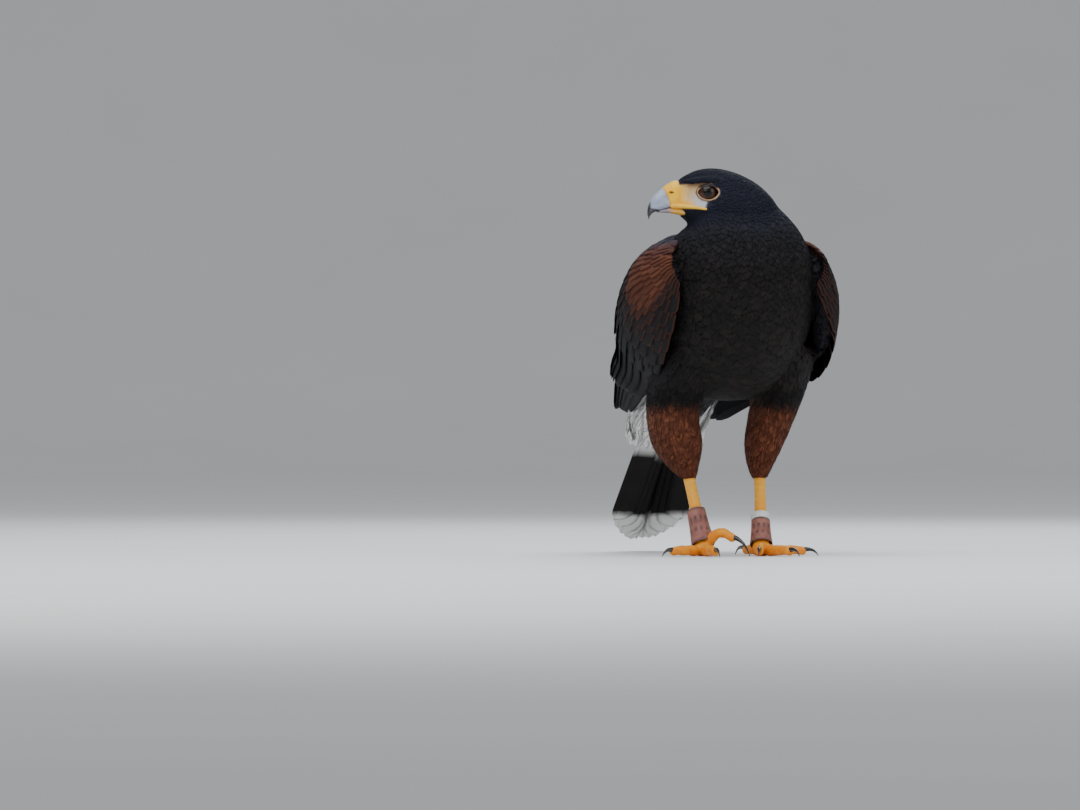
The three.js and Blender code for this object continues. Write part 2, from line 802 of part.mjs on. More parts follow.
// Toes: [name, turn from straight ahead towards the outer side in degrees, length, claw length,
// how far the knuckle is raised, how far the end is raised]
const toeKinds = {
  right: [
    ["inner", -40, 30, 21, 16, 12],
    ["middle", 4, 47, 19, 0.8, 0.4],
    ["outer", 62, 36, 16, 0.8, 0.4],
    ["hind", 192, 28, 25, 1, 0.4],
  ],
  left: [
    ["inner", -20, 31, 21, 3, 0.4],
    ["middle", 14, 47, 19, 0.8, 0.4],
    ["outer", 66, 36, 16, 0.8, 0.4],
    ["hind", 190, 28, 25, 1, 0.4],
  ],
};
const toeRadius = { root: 4.7, tip: 3.5, pad: 0.9 };
const padHeight = 4.2; // middle of a toe that lies on the floor

function toeHeading(side, turn) {
  return new Vector3(side * Math.sin(turn * deg), -Math.cos(turn * deg), 0);
}

function toeLine(leg, [, turn, length, , knuckle, end]) {
  const ahead = toeHeading(leg.side, turn);
  const at = (reach, height) => {
    const place = vec(leg.foot).addScaledVector(ahead, reach);
    place.z = height;
    return place.toArray();
  };
  return curveOf([
    at(2, padHeight + 2.2),
    at(length * 0.3, padHeight + knuckle * 0.7),
    at(length * 0.62, padHeight + knuckle),
    at(length, padHeight + end),
  ]);
}

function toeTube(leg, kind, grow, bump) {
  const line = toeLine(leg, kind);
  const side = new Vector3(0, 0, 1).cross(toeHeading(leg.side, kind[1]));
  const radiusAt = (u) => lerp(toeRadius.root, toeRadius.tip, u) + grow;
  return tube(line, radiusAt, { rings: 10, around: 7, side, bump, beyond: grow });
}

function toeSolid(leg, kind, rooms) {
  const bump = (u, turn) => {
    const pads = toeRadius.pad * Math.max(0, -Math.sin(turn)) * Math.sin(Math.PI * ((u * 2.99) % 1));
    const scutes = 0.35 * Math.max(0, Math.sin(turn)) * (Math.round(u * 9) % 2);
    return pads + scutes;
  };
  const made = toeTube(leg, kind, 0, bump);
  return largest(rooms.reduce((kept, room) => kept.subtract(room), made.trimByPlane([0, 0, 1], 0)));
}

// The room that a toe takes, with its scutes and a gap round it.
const toeRoom = (leg, kind) => toeTube(leg, kind, gap + 0.9);

function clawSolid(leg, kind, room) {
  const [, turn, , claw, , end] = kind;
  const ahead = toeHeading(leg.side, turn);
  const toe = toeLine(leg, kind);
  const start = toe.getPoint(1);
  const place = (reach, height) => start.clone().addScaledVector(ahead, reach).setZ(height);
  const line = new THREE.QuadraticBezierCurve3(
    start.clone().addScaledVector(toe.getTangent(1), -2.5),
    place(claw * 0.6, start.z + claw * 0.26 - end * 0.45),
    place(claw * 0.86, 0.5),
  );
  const side = new Vector3(0, 0, 1).cross(ahead);
  const made = tube(line, (u) => lerp(2.8, 0.35, u ** 0.8), { rings: 6, around: 6, side });
  return largest(made.subtract(room).trimByPlane([0, 0, 1], 0));
}

// The pad that the toes and the shank meet at.
function footPad(leg, grow = 0) {
  const ball = new THREE.SphereGeometry(1, 10, 7);
  ball.scale(8 + grow, 8.6 + grow, 8 + grow);
  ball.translate(leg.foot[0], leg.foot[1] - 1, 7.2);
  const made = solid(ball);
  return grow ? made : made.trimByPlane([0, 0, 1], 0);
}

// Leather anklets and the closed ring

const anklets = {
  right: { bottom: -0.02, top: 0.5, inside: [6.8, 6.8], wall: 1.5, flare: 2.4 },
  left: { bottom: -0.02, top: 0.335, inside: [6.8, 6.8], wall: 1.5, flare: 2 },
};
const closedRing = { bottom: 0.34, top: 0.435, inside: [6.9, 6.9], wall: 1.6 };

// A band round a shank, between two shares of the way up from the foot to the hock.
function bandRound(leg, { bottom, top, inside, wall, flare = 0 }, rows = 1, around = 12) {
  const foot = vec(leg.foot);
  const hock = vec(leg.hock);
  const up = hock.clone().sub(foot).normalize();
  const span = hock.distanceTo(foot);
  const outline = [];
  const reachAt = (u) => lerp(inside[0], inside[1], u) + flare * (1 - u) ** 2;
  const heightAt = (u) => lerp(bottom, top, u) * span;
  for (let k = 0; k <= rows; k++) outline.push([reachAt(k / rows) + wall, heightAt(k / rows)]);
  for (let k = rows; k >= 0; k--) outline.push([reachAt(k / rows), heightAt(k / rows)]);
  outline.push(outline[0]);
  const band = new THREE.LatheGeometry(outline.map((p) => new THREE.Vector2(...p)), around);
  const turn = new THREE.Quaternion().setFromUnitVectors(new Vector3(0, 1, 0), up);
  band.applyQuaternion(turn);
  band.translate(...leg.foot);
  return solid(band);
}

const tabLength = 12;

// The anklet's two ends, joined behind the leg.
function ankletTab(leg, { bottom, top, inside, wall }) {
  const span = vec(leg.hock).sub(vec(leg.foot));
  const up = span.clone().normalize();
  const behind = new Vector3(1, 0, 0).cross(up).negate();
  const height = (top - bottom) * span.length() * 0.36;
  const rows = [0, 0.5, 1].map((u) => {
    const place = vec(leg.foot).addScaledVector(span, lerp(bottom, top, 0.5));
    place.addScaledVector(behind, inside[0] + wall * 0.8 + tabLength * u);
    place.x += leg.side * 1.6 * u;
    const half = height * lerp(1, 0.8, u);
    const points = [-half, half].map((reach) => place.clone().addScaledVector(up, reach));
    return { points, normal: new Vector3(1, 0, 0), thick: 2.6 };
  });
  return plate(rows);
}

// Assembly

const model = new THREE.Group();

function add(name, made, colour) {
  const material = new THREE.MeshStandardMaterial({ metalness: 0, ...colours[colour] });
  const mesh = new THREE.Mesh(geometryOf(made), material);
  mesh.name = name;
  model.add(mesh);
}

const body = bodySolid();
const bodyRoom = bodySolid(gap * 1.6);
const headPieces = headParts();
const headSolid = onHead(headPieces.head);
const neck = between(body, neckCut, breastCut);
const torso = between(body, breastCut, tailCut);

// The head takes the top of the neck, and is cut clear of the part below it.
const headCut = bodyLine.getTangent(neckCut / lastStation).multiplyScalar(-1);
const headOffset = headCut.dot(bodyLine.getPoint(neckCut / lastStation)) + gap / 2;
const upperNeck = body.trimByPlane(headCut.toArray(), headOffset);
const faceRooms = [LEFT, RIGHT].map((side) => onHead(eyeSocket(side)));
let head = headSolid.trimByPlane(headCut.toArray(), headOffset).add(upperNeck);
faceRooms.forEach((room) => {
  head = head.subtract(room);
});
add("head", largest(head), "slate");
add("cere", onHead(headPieces.cere), "yellow");
add("bill_upper", onHead(headPieces.bill_upper), "horn");
add("bill_lower", onHead(headPieces.bill_lower), "horn");
add("eye_left", onHead(headPieces.eye_left), "eye");
add("eye_right", onHead(headPieces.eye_right), "eye");
add("neck", neck, "slate");
add("torso", torso, "black");
add("tail", tailSolid(body), "black");
const covertRoom = between(bodySolid(6.4), tailCut - 0.5, null);
for (const side of [RIGHT, LEFT]) {
  const thighRoom = thighSolid(side > 0 ? legs.left : legs.right, gap);
  add(side > 0 ? "wing_left" : "wing_right", wingSolid(side, [bodyRoom, covertRoom, thighRoom]), "black");
}

for (const [name, leg] of Object.entries(legs)) {
  const thigh = largest(thighSolid(leg).subtract(bodyRoom));
  const thighRoom = thighSolid(leg, gap);
  const pad = footPad(leg);
  const padRoom = footPad(leg, gap);
  const shankMade = shankSolid(leg, thighRoom);
  const band = anklets[name];
  const roomRadius = shank.top + shank.raise + gap * 2;
  const shankRoom = tube(shankLine(leg), () => roomRadius, { rings: 10, around: 8, beyond: gap });
  const kinds = toeKinds[name];
  const rooms = kinds.map((kind) => toeRoom(leg, kind));
  const toes = kinds.map((kind, i) => toeSolid(leg, kind, [padRoom, shankRoom, ...rooms.slice(0, i)]));
  const cuff = bandRound(leg, band).add(ankletTab(leg, band)).subtract(joined([padRoom, ...rooms]));
  add(`thigh_${name}`, thigh, "rufous");
  add(`shank_${name}`, largest(shankMade.subtract(padRoom)), "yellow");
  add(`foot_${name}`, pad, "yellow");
  kinds.forEach((kind, i) => {
    add(`toe_${kind[0]}_${name}`, toes[i], "yellow");
    add(`claw_${kind[0]}_${name}`, clawSolid(leg, kind, toeTube(leg, kind, gap)), "claw");
  });
  add(`anklet_${name}`, largest(cuff), "hide");
}
add("leg_ring_left", bandRound(legs.left, closedRing, 1, 14), "band");

const extent = new THREE.Box3().setFromObject(model);
const middle = extent.getCenter(new Vector3());
model.position.set(-middle.x, -middle.y, -extent.min.z);


export default model;
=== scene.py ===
# A Harris's hawk at life size: one skin, its coat of feathers and its bare parts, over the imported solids.
# Sizes are millimetres in the bird's own frame, as in the part's source. It faces -Y and stands on Z = 0.

import itertools
import math

import bpy
import numpy as np
from mathutils import Matrix, Vector
from mathutils.bvhtree import BVHTree
from mathutils.kdtree import KDTree


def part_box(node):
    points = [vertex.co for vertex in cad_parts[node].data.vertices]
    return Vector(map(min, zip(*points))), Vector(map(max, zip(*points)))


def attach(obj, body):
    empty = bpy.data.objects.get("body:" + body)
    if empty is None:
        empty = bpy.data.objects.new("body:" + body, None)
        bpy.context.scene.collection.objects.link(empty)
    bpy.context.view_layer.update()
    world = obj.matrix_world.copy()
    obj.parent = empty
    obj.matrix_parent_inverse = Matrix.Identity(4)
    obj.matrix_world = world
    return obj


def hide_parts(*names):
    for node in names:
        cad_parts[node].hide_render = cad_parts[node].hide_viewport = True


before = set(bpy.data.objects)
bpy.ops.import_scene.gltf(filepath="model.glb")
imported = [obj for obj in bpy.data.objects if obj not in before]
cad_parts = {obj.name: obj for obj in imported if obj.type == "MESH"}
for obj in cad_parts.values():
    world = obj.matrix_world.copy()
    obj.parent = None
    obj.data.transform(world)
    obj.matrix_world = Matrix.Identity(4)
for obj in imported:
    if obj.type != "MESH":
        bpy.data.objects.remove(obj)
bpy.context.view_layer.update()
footLow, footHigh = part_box("foot_left")
origin = np.array([(footLow.x + footHigh.x) / 2 - 0.023, (footLow.y + footHigh.y) / 2 - 0.002, 0.0])
sides = {"right": -1, "left": 1}  # the sign of X on each side of the bird
draw = np.random.default_rng(29)
print("frame loaded")


# curves and small sums

def curve(points):
    # A smooth line through the points, read at u from 0 to 1, which may be an array.
    known = np.array(points, float)
    ends = np.vstack([2 * known[0] - known[1], known, 2 * known[-1] - known[-2]])

    def read(u):
        place = np.clip(np.asarray(u, float), 0, 1) * (len(known) - 1)
        k = np.minimum(place.astype(int), len(known) - 2)
        t = (place - k)[..., None]
        a, b, c, d = ends[k], ends[k + 1], ends[k + 2], ends[k + 3]
        bent = t * t * (a - 2.5 * b + 2 * c - 0.5 * d) + t**3 * (1.5 * (b - c) + 0.5 * (d - a))
        return b + 0.5 * t * (c - a) + bent

    return read


def unit(v):
    return v / np.maximum(np.linalg.norm(v, axis=-1, keepdims=True), 1e-9)


def heading(line, u, step=1e-3):
    u = np.asarray(u, float)
    return unit(line(np.minimum(1, u + step)) - line(np.maximum(0, u - step)))


def lerp(a, b, u):
    return a + (b - a) * u


def smooth(u):
    u = np.clip(u, 0, 1)
    return u * u * (3 - 2 * u)


def between(u, low, high):
    return smooth((u - low) / (high - low))


def powered(value, power):
    return np.sign(value) * np.abs(value) ** power


# making pieces

def deselectAll():
    bpy.ops.object.select_all(action="DESELECT")


def choose(piece):
    deselectAll()
    piece.select_set(True)
    bpy.context.view_layer.objects.active = piece


def readAll(items, label, width=3, kind=float):
    values = np.empty(len(items) * width, kind)
    items.foreach_get(label, values)
    return values.reshape(-1, width)


def coordsOf(piece):
    return readAll(piece.data.vertices, "co")


def normalsOf(piece):
    return readAll(piece.data.vertices, "normal")


def placesOf(piece):
    return (coordsOf(piece) - origin) * 1000


def inMetres(place):
    return place * 0.001 + origin


def setCoords(piece, co):
    piece.data.vertices.foreach_set("co", np.ascontiguousarray(co).ravel())
    piece.data.update()


def setPlaces(piece, places):
    setCoords(piece, inMetres(places))


def smoothed(piece):
    choose(piece)
    bpy.ops.object.shade_smooth()


def mended(piece, apart=0.00002):
    choose(piece)
    bpy.ops.object.mode_set(mode="EDIT")
    bpy.ops.mesh.select_all(action="SELECT")
    bpy.ops.mesh.remove_doubles(threshold=apart)
    bpy.ops.mesh.normals_make_consistent(inside=False)
    bpy.ops.object.mode_set(mode="OBJECT")
    bpy.ops.object.shade_smooth()
    return piece


def newGrid(name, across, rows, size=2):
    deselectAll()
    bpy.ops.mesh.primitive_grid_add(x_subdivisions=across, y_subdivisions=rows, size=size)
    piece = bpy.context.object
    piece.name = piece.data.name = name
    return piece


# Rows along each form and cells round it
formCells = {
    "body": (90, 64), "skull": (56, 56), "brow": (24, 16), "thigh": (40, 36), "arm": (30, 40),
    "eye": (60, 64), "lid": (72, 18), "cere": (40, 48), "flange": (40, 20), "bill": (72, 64),
    "shank": (220, 40), "toe": (60, 28), "pad": (30, 36), "ankle": (20, 32), "claw": (40, 24),
    "band": (72, 96), "tab": (30, 32),
}


def formed(name, place, form, shut=True):
    # A grid rolled into a closed form. place(along, turn) gives millimetres, both read from 0 to 1.
    rows, around = formCells[form]
    piece = newGrid(name, around, rows)
    co = coordsOf(piece)
    turn, along = (co[:, 0] + 1) / 2, (co[:, 1] + 1) / 2
    row = np.rint(along * rows).astype(int)
    if shut:
        spot = np.clip((along * rows - 1) / (rows - 2), 0, 1)
        made = place(spot, turn)
        for end in (0, rows):
            ends = (row == end) & (turn < 1 - 1e-6)
            made[row == end] = made[ends].mean(0)
    else:
        made = place(along, turn)
    setPlaces(piece, made)
    return mended(piece)


def withModifier(piece, kind, **settings):
    choose(piece)
    modifier = piece.modifiers.new(kind.lower(), kind)
    for key, value in settings.items():
        setattr(modifier, key, value)
    bpy.ops.object.modifier_apply(modifier=modifier.name)
    return piece


# How finely forms are remeshed, in metres, and how often they are eased after it, and by how much
growth = {
    "skin": {"cell": 0.0017, "rounds": 8, "easing": 0.6},
    "cere": {"cell": 0.00042, "rounds": 5, "easing": 0.5},
    "foot": {"cell": 0.00055, "rounds": 6, "easing": 0.5},
}


def grownTogether(name, forms, kind):
    # The forms made into one closed skin
    piece, how = joinedAs(name, forms), growth[kind]
    withModifier(piece, "REMESH", mode="VOXEL", voxel_size=how["cell"], adaptivity=0.0)
    return withModifier(piece, "SMOOTH", factor=how["easing"], iterations=how["rounds"])


def joinedAs(name, parts):
    deselectAll()
    for part in parts:
        part.select_set(True)
    bpy.context.view_layer.objects.active = parts[0]
    if len(parts) > 1:
        bpy.ops.object.join()
    parts[0].name = parts[0].data.name = name
    return parts[0]


def tubePlace(line, radius, side, flat=1.0, bump=None, ends=0.05):
    # A round tube along a line, with rounded ends. radius(u) and bump(u, angle) are millimetres.
    side = np.array(side, float)

    def place(along, turn):
        u = np.clip((along - ends) / (1 - 2 * ends), 0, 1)
        beyond = np.clip(np.where(along < 0.5, 1 - along / ends, 1 - (1 - along) / ends), 0, 1)
        way = np.where(along < 0.5, -1, 1)
        ahead = heading(line, u)
        up = unit(np.cross(side, ahead))
        out = unit(np.cross(ahead, up))
        angle = 2 * np.pi * turn
        reach = radius(u) + (bump(u, angle) if bump else 0)
        shrink = np.sqrt(np.maximum(0, 1 - beyond**2))
        middle = line(u) + ahead * (way * beyond * radius(u))[:, None]
        wide = (reach * shrink * np.cos(angle))[:, None]
        high = (reach * shrink * flat * np.sin(angle))[:, None]
        return middle + out * wide + up * high

    return place


def addValue(piece, name, value):
    layer = piece.data.attributes.new(name, "FLOAT", "POINT")
    layer.data.foreach_set("value", np.asarray(value, np.float32))


def addMap(piece, name, places):
    corners = readAll(piece.data.loops, "vertex_index", 1, int).ravel()
    layer = piece.data.uv_layers.new(name=name)
    layer.data.foreach_set("uv", places[corners].astype(np.float32).ravel())


# materials

def link(tree, socket, value):
    if isinstance(value, bpy.types.NodeSocket):
        tree.links.new(value, socket)
    else:
        socket.default_value = value


def node(tree, kind, *values, out=0, **settings):
    made = tree.nodes.new("ShaderNode" + kind)
    for key, value in settings.items():
        setattr(made, key, value)
    for i, value in enumerate(values):
        if value is not None:
            link(tree, made.inputs[i], value)
    return made.outputs[out]


def math2(tree, operation, *values):
    return node(tree, "Math", *values, operation=operation)


def remap(tree, value, low, high, toLow=0.0, toHigh=1.0):
    return node(tree, "MapRange", value, low, high, toLow, toHigh, interpolation_type="SMOOTHSTEP")


def mixed(tree, share, a, b):
    made = tree.nodes.new("ShaderNodeMix")
    made.data_type = "RGBA"
    link(tree, made.inputs[0], share)
    link(tree, made.inputs[6], a)
    link(tree, made.inputs[7], b)
    return made.outputs[2]


def attribute(tree, name):
    return node(tree, "Attribute", attribute_name=name, out=2)


def noise(tree, coords, scale, detail=3.0, rough=0.55):
    return node(tree, "TexNoise", coords, None, scale, detail, rough)


def objectCoords(tree):
    return node(tree, "TexCoord", out=3)


def newGroup(name, inputs, outputs):
    tree = bpy.data.node_groups.new(name, "ShaderNodeTree")
    for label, kind in inputs:
        tree.interface.new_socket(name=label, in_out="INPUT", socket_type=kind)
    for label, kind in outputs:
        tree.interface.new_socket(name=label, in_out="OUTPUT", socket_type=kind)
    return tree, tree.nodes.new("NodeGroupInput").outputs, tree.nodes.new("NodeGroupOutput").inputs


def groupIn(tree, group, **values):
    made = tree.nodes.new("ShaderNodeGroup")
    made.node_tree = group
    for label, value in values.items():
        link(tree, made.inputs[label], value)
    return made.outputs


def newMaterial(name, **settings):
    material = bpy.data.materials.new(name)
    material.use_nodes = True
    tree = material.node_tree
    for label, value in settings.items():
        tree.nodes["Principled BSDF"].inputs[label.replace("_", " ")].default_value = value
    return material, tree


def painted(tree, colour, coats):
    # Each colour laid over the last, as strongly as the piece's attribute of that name says.
    for label, coat in coats.items():
        colour = mixed(tree, attribute(tree, label), colour, coat)
    return colour


def finished(material, colour, height=None, depth=0.0002, strength=0.5):
    # The colour and the relief reach the shader. depth is in metres.
    tree = material.node_tree
    shader = tree.nodes["Principled BSDF"]
    tree.links.new(colour, shader.inputs["Base Color"])
    if height is not None:
        bump = tree.nodes.new("ShaderNodeBump")
        bump.inputs["Strength"].default_value = strength
        bump.inputs["Distance"].default_value = depth
        tree.links.new(height, bump.inputs["Height"])
        tree.links.new(bump.outputs[0], shader.inputs["Normal"])
    return material


def dress(piece, material):
    piece.data.materials.clear()
    piece.data.materials.append(material)


def placed(piece, material, slot, *nodes):
    dress(piece, material)
    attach(piece, "root")
    if nodes:
        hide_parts(*nodes)


# Colours of the plumage, as the shader wants them
plumage = {
    "black": (0.0085, 0.0078, 0.0082, 1),
    "brown": (0.0165, 0.0125, 0.0110, 1),
    # This bluish colour is painted sky sheen, a painted reflection laid into the dark feathers.
    "slate": (0.0150, 0.0170, 0.0300, 1),
    "rufous": (0.200, 0.064, 0.032, 1),
    "deepRufous": (0.115, 0.036, 0.019, 1),
    "white": (0.78, 0.77, 0.75, 1),
    "grey": (0.60, 0.58, 0.57, 1),
}


def plumageGroup():
    # Rufous, White, the bluish tint and Tone run from 0 to 1 and give the colour of feather or skin. The
    # bluish tint is painted sky sheen: a painted reflection of the sky on the dark feathers.
    sockets = [(label, "NodeSocketFloat") for label in ("Rufous", "White", "Slate", "Tone")]
    tree, taken, given = newGroup("plumageColour", sockets, [("Color", "NodeSocketColor")])
    coords = objectCoords(tree)
    patches = noise(tree, coords, 55.0)
    drift = math2(tree, "ADD", taken["Tone"], math2(tree, "MULTIPLY", patches, 0.5))
    dark = mixed(tree, remap(tree, drift, 0.55, 1.35), plumage["black"], plumage["brown"])
    dark = mixed(tree, taken["Slate"], dark, plumage["slate"])
    chestnut = mixed(tree, remap(tree, drift, 0.1, 1.1), plumage["deepRufous"], plumage["rufous"])
    pale = mixed(tree, remap(tree, drift, 0.05, 0.45), plumage["grey"], plumage["white"])
    coloured = mixed(tree, taken["Rufous"], dark, chestnut)
    tree.links.new(mixed(tree, taken["White"], coloured, pale), given["Color"])
    return tree


plumageColour = plumageGroup()


def barbGroup():
    # The fine slanting barbs of a vane and its shaft, from the vane's own map in centimetres.
    tree, taken, given = newGroup(
        "vaneBarbs",
        [("Map", "NodeSocketVector"), ("Pitch", "NodeSocketFloat")],
        [("Height", "NodeSocketFloat"), ("Shaft", "NodeSocketFloat")],
    )
    parts = tree.nodes.new("ShaderNodeSeparateXYZ")
    tree.links.new(taken["Map"], parts.inputs[0])
    across = math2(tree, "ABSOLUTE", math2(tree, "SUBTRACT", parts.outputs[0], 5.0))
    wander = math2(tree, "MULTIPLY", noise(tree, taken["Map"], 1.6, 2.0), 0.35)
    slant = math2(tree, "SUBTRACT", parts.outputs[1], math2(tree, "MULTIPLY", across, 0.9))
    phase = math2(tree, "MULTIPLY", math2(tree, "ADD", slant, wander), taken["Pitch"])
    tree.links.new(math2(tree, "SINE", phase), given["Height"])
    shaft = remap(tree, across, 0.02, 0.055, 1.0, 0.0)
    tree.links.new(shaft, given["Shaft"])
    return tree


vaneBarbs = barbGroup()


featherGloss = 0.12


def featherMaterial(name, rough, barbPitch, barbDepth):
    material, tree = newMaterial(name, Roughness=rough, Specular_IOR_Level=featherGloss)
    values = {label: attribute(tree, label.lower()) for label in ("Rufous", "White", "Slate", "Tone")}
    colour = groupIn(tree, plumageColour, **values)["Color"]
    vaneMap = node(tree, "UVMap", uv_map="Vane")
    barbs = groupIn(tree, vaneBarbs, Map=vaneMap, Pitch=barbPitch)
    edge = attribute(tree, "edge")
    fringe = math2(tree, "MULTIPLY", remap(tree, edge, 0.62, 0.95), attribute(tree, "fringe"))
    fringed = mixed(tree, math2(tree, "MULTIPLY", fringe, 0.7), colour, plumage["deepRufous"])
    dulled = remap(tree, values["White"], 0.0, 1.0, 1.0, 0.25)
    quill = math2(tree, "MULTIPLY", attribute(tree, "quill"), dulled)
    lined = math2(tree, "MULTIPLY", barbs["Shaft"], quill)
    shafted = mixed(tree, lined, fringed, plumage["black"])
    grain = remap(tree, barbs["Height"], -1.0, 1.0, 0.82, 1.12)
    scaled = node(tree, "VectorMath", shafted, None, None, grain, operation="SCALE")
    return finished(material, scaled, barbs["Height"], barbDepth, 0.6)


contourFeather = featherMaterial("contourFeather", 0.7, 150.0, 0.00006)
flightFeather = featherMaterial("flightFeather", 0.72, 190.0, 0.00006)
print("plumage materials ready")


# the body's own shape

# Each station is the middle of a section, then its half width, reach to the breast side and to the back.
bodyStations = [
    [[-11, -42, 314], [19, 13, 15]],
    [[-12, -43, 304], [33, 20, 22]],
    [[-10, -44, 290], [46, 31, 29]],
    [[-11, -43, 275], [59, 45, 34]],
    [[-10, -37, 258], [67, 60, 39]],
    [[-7, -21, 240], [70, 73, 47]],
    [[-5, 3, 222], [72, 80, 52]],
    [[-3, 31, 207], [71, 78, 50]],
    [[-1, 58, 196], [68, 67, 42]],
    [[0, 86, 187], [56, 53, 32]],
    [[-1, 112, 177], [43, 43, 23]],
    [[-3, 135, 163], [38, 38, 18]],
    [[-7, 158, 142], [38, 31, 14]],
    [[-10, 182, 117], [38, 22, 10]],
    [[-9, 200, 98], [35, 15, 8]],
    [[-8, 212, 85], [31, 12, 6]],
]
bodySquareness = 2.35
lastStation = len(bodyStations) - 1
bodyLine = curve([middle for middle, girth in bodyStations])
bodyGirth = curve([girth for middle, girth in bodyStations])


def bodyPlace(station, turn, grow=0.0):
    # turn runs from the bird's left side over its back, in radians
    u = np.asarray(station, float) / lastStation
    middle, along, girth = bodyLine(u), heading(bodyLine, u), bodyGirth(u)
    back = unit(np.stack([np.zeros_like(u), -along[..., 2], along[..., 1]], -1))
    power = 2 / bodySquareness
    wide = (girth[..., 0] + grow) * powered(np.cos(turn), power)
    reach = np.where(np.sin(turn) > 0, girth[..., 2], girth[..., 1]) + grow
    high = reach * powered(np.sin(turn), power)
    return middle + np.array([1.0, 0, 0]) * wide[..., None] + back * high[..., None]


# Head, in its own frame: X forwards, Y to its left, Z up, from midway between the eyes.
headShape = {
    "turn": math.radians(98),
    "place": (-39, -43, 315.3),
    "stations": [  # forwards, top, bottom, half width, height of the widest place
        [31.5, 8.4, -17, 8.5, -5],
        [27, 11.6, -20, 10.5, -5],
        [20, 16, -26, 14.5, -5],
        [12, 19.6, -31.5, 18.6, -4],
        [3, 21.6, -35, 21.8, -4],
        [-8, 21.6, -37, 24, -5],
        [-20, 18.9, -38, 25.6, -7],
        [-32, 14, -37, 25, -9],
        [-44, 6.6, -33, 21.5, -12],
        [-54, -3, -30, 15, -15],
        [-60, -11, -25, 6, -18],
    ],
}
headSpin = math.atan2(-math.cos(headShape["turn"]), -math.sin(headShape["turn"]))
headTurn = np.array(Matrix.Rotation(headSpin, 3, "Z"))
headLine = curve([[x, top, low] for x, top, low, half, middle in headShape["stations"]])
headGirth = curve([[x, half, middle] for x, top, low, half, middle in headShape["stations"]])


def headPlace(local):
    return np.asarray(local, float) @ headTurn.T + np.array(headShape["place"])


def headLocal(place):
    return (np.asarray(place, float) - np.array(headShape["place"])) @ headTurn


def localOf(piece):
    return headLocal(placesOf(piece))


def headOnSide(points, side):
    return np.asarray(points, float) * np.array([1, side, 1])


eyeShape = {
    "middle": [3.2, 11.4, -0.3], "radius": 9.3, "cornea": 0.6, "corneaSpread": 0.6,
    "iris": 0.92, "pupil": 0.40,  # turns from the pole, in radians, at the rim of each
    "look": [0.10, 1.0, -0.02],
}
lidShape = {
    "opening": [8.0, 5.5, 6.3],  # half length, then how far it reaches up and down
    "outside": [9.8, 7.3, 8.0],
    "thick": 1.0,
}
faceShape = {
    "top": 7.6, "topSlope": 0.06, "front": 28.0, "back": 6.0, "backSlope": 0.3, "mouth": -14.4,
    "sunk": 3.4,
}


def skullPlace(u, turn, grow=0.0):
    top, wide = headLine(u), headGirth(u)
    middle = wide[..., 2]
    rise = np.where(np.sin(turn) > 0, top[..., 1] - middle, middle - top[..., 2])
    across = (wide[..., 1] + grow) * powered(np.cos(turn), 0.92)
    high = middle + (rise + grow) * powered(np.sin(turn), 0.92)
    return np.stack([top[..., 0], across, high], -1)


# The folded wing as three rails from front to tip, each point [outwards, back, up].
wingShape = {
    "lower": [
        [64, -64, 234], [82, -46, 190], [84, 2, 160], [67, 60, 143],
        [57, 120, 131], [52, 178, 121], [46, 222, 116],
    ],
    "side": [
        [80, -66, 262], [104, -30, 245], [112, 24, 224], [118, 78, 194],
        [103, 136, 166], [72, 190, 142], [50, 226, 120],
    ],
    "upper": [
        [48, -42, 276], [51, -8, 280], [38, 40, 269], [27, 92, 233],
        [29, 142, 194], [39, 192, 154], [48, 226, 123],
    ],
    "shoulderShift": -10,
    "hitch": {-1: 9, 1: 0},
    "bulge": {-1: 26, 1: 0},
    "tuck": {-1: 22, 1: 0},
}
wingRails = [curve(wingShape[name]) for name in ("lower", "side", "upper")]


def wingPlace(side, s, t):
    s, t = np.clip(np.asarray(s, float), 0, 1), np.asarray(t, float)
    shares = [(1 - t) ** 2, 2 * t * (1 - t), t * t]
    place = sum(rail(s) * share[..., None] for rail, share in zip(wingRails, shares))
    bulge = wingShape["bulge"][side] * shares[1] * np.sin(np.pi * np.clip(s / 0.55, 0, 1))
    tuck = wingShape["tuck"][side] * shares[0] * np.sin(np.pi * np.clip(s / 0.6, 0, 1))
    shift = wingShape["shoulderShift"] * smooth((110 - place[..., 1]) / 150)
    outwards = (place[..., 0] + bulge - tuck) * side + shift
    return np.stack([outwards, place[..., 1], place[..., 2] + wingShape["hitch"][side] * s**3], -1)


def wingFrame(side, s, t, step=0.012):
    place = wingPlace(side, s, t)
    along = unit(wingPlace(side, s + step, t) - wingPlace(side, s - step, t))
    above, below = np.minimum(1, t + step), np.maximum(0, t - step)
    upward = unit(wingPlace(side, s, above) - wingPlace(side, s, below))
    out = unit(np.cross(upward, along))
    flip = (out[..., 0] * side < 0) & (np.abs(out[..., 0]) > 0.05)
    out = np.where(flip[..., None], -out, out)
    return place, along, out


legShapes = {
    "right": {
        "side": -1,
        "thigh": [
            [[-40, -2, 180], 32, 40],
            [[-47, 16, 152], 28, 37],
            [[-49, 32, 125], 23, 31],
            [[-43, 39, 99], 22.5, 27],
            [[-38.5, 39, 81], 15, 18],
            [[-33, 36, 68], 6.2, 7],
        ],
        "hock": [-32.8, 35.6, 67.4],
        "foot": [-30, 3, 11],
    },
    "left": {
        "side": 1,
        "thigh": [
            [[40, -2, 180], 32, 40],
            [[43.5, 16, 152], 26, 35],
            [[42.5, 32, 125], 21, 30],
            [[37, 39, 99], 17, 25],
            [[33.5, 39, 81], 11.5, 16],
            [[31.6, 36, 68], 6.2, 7],
        ],
        "hock": [31.6, 35.6, 67.4],
        "foot": [23, 3, 11],
    },
}


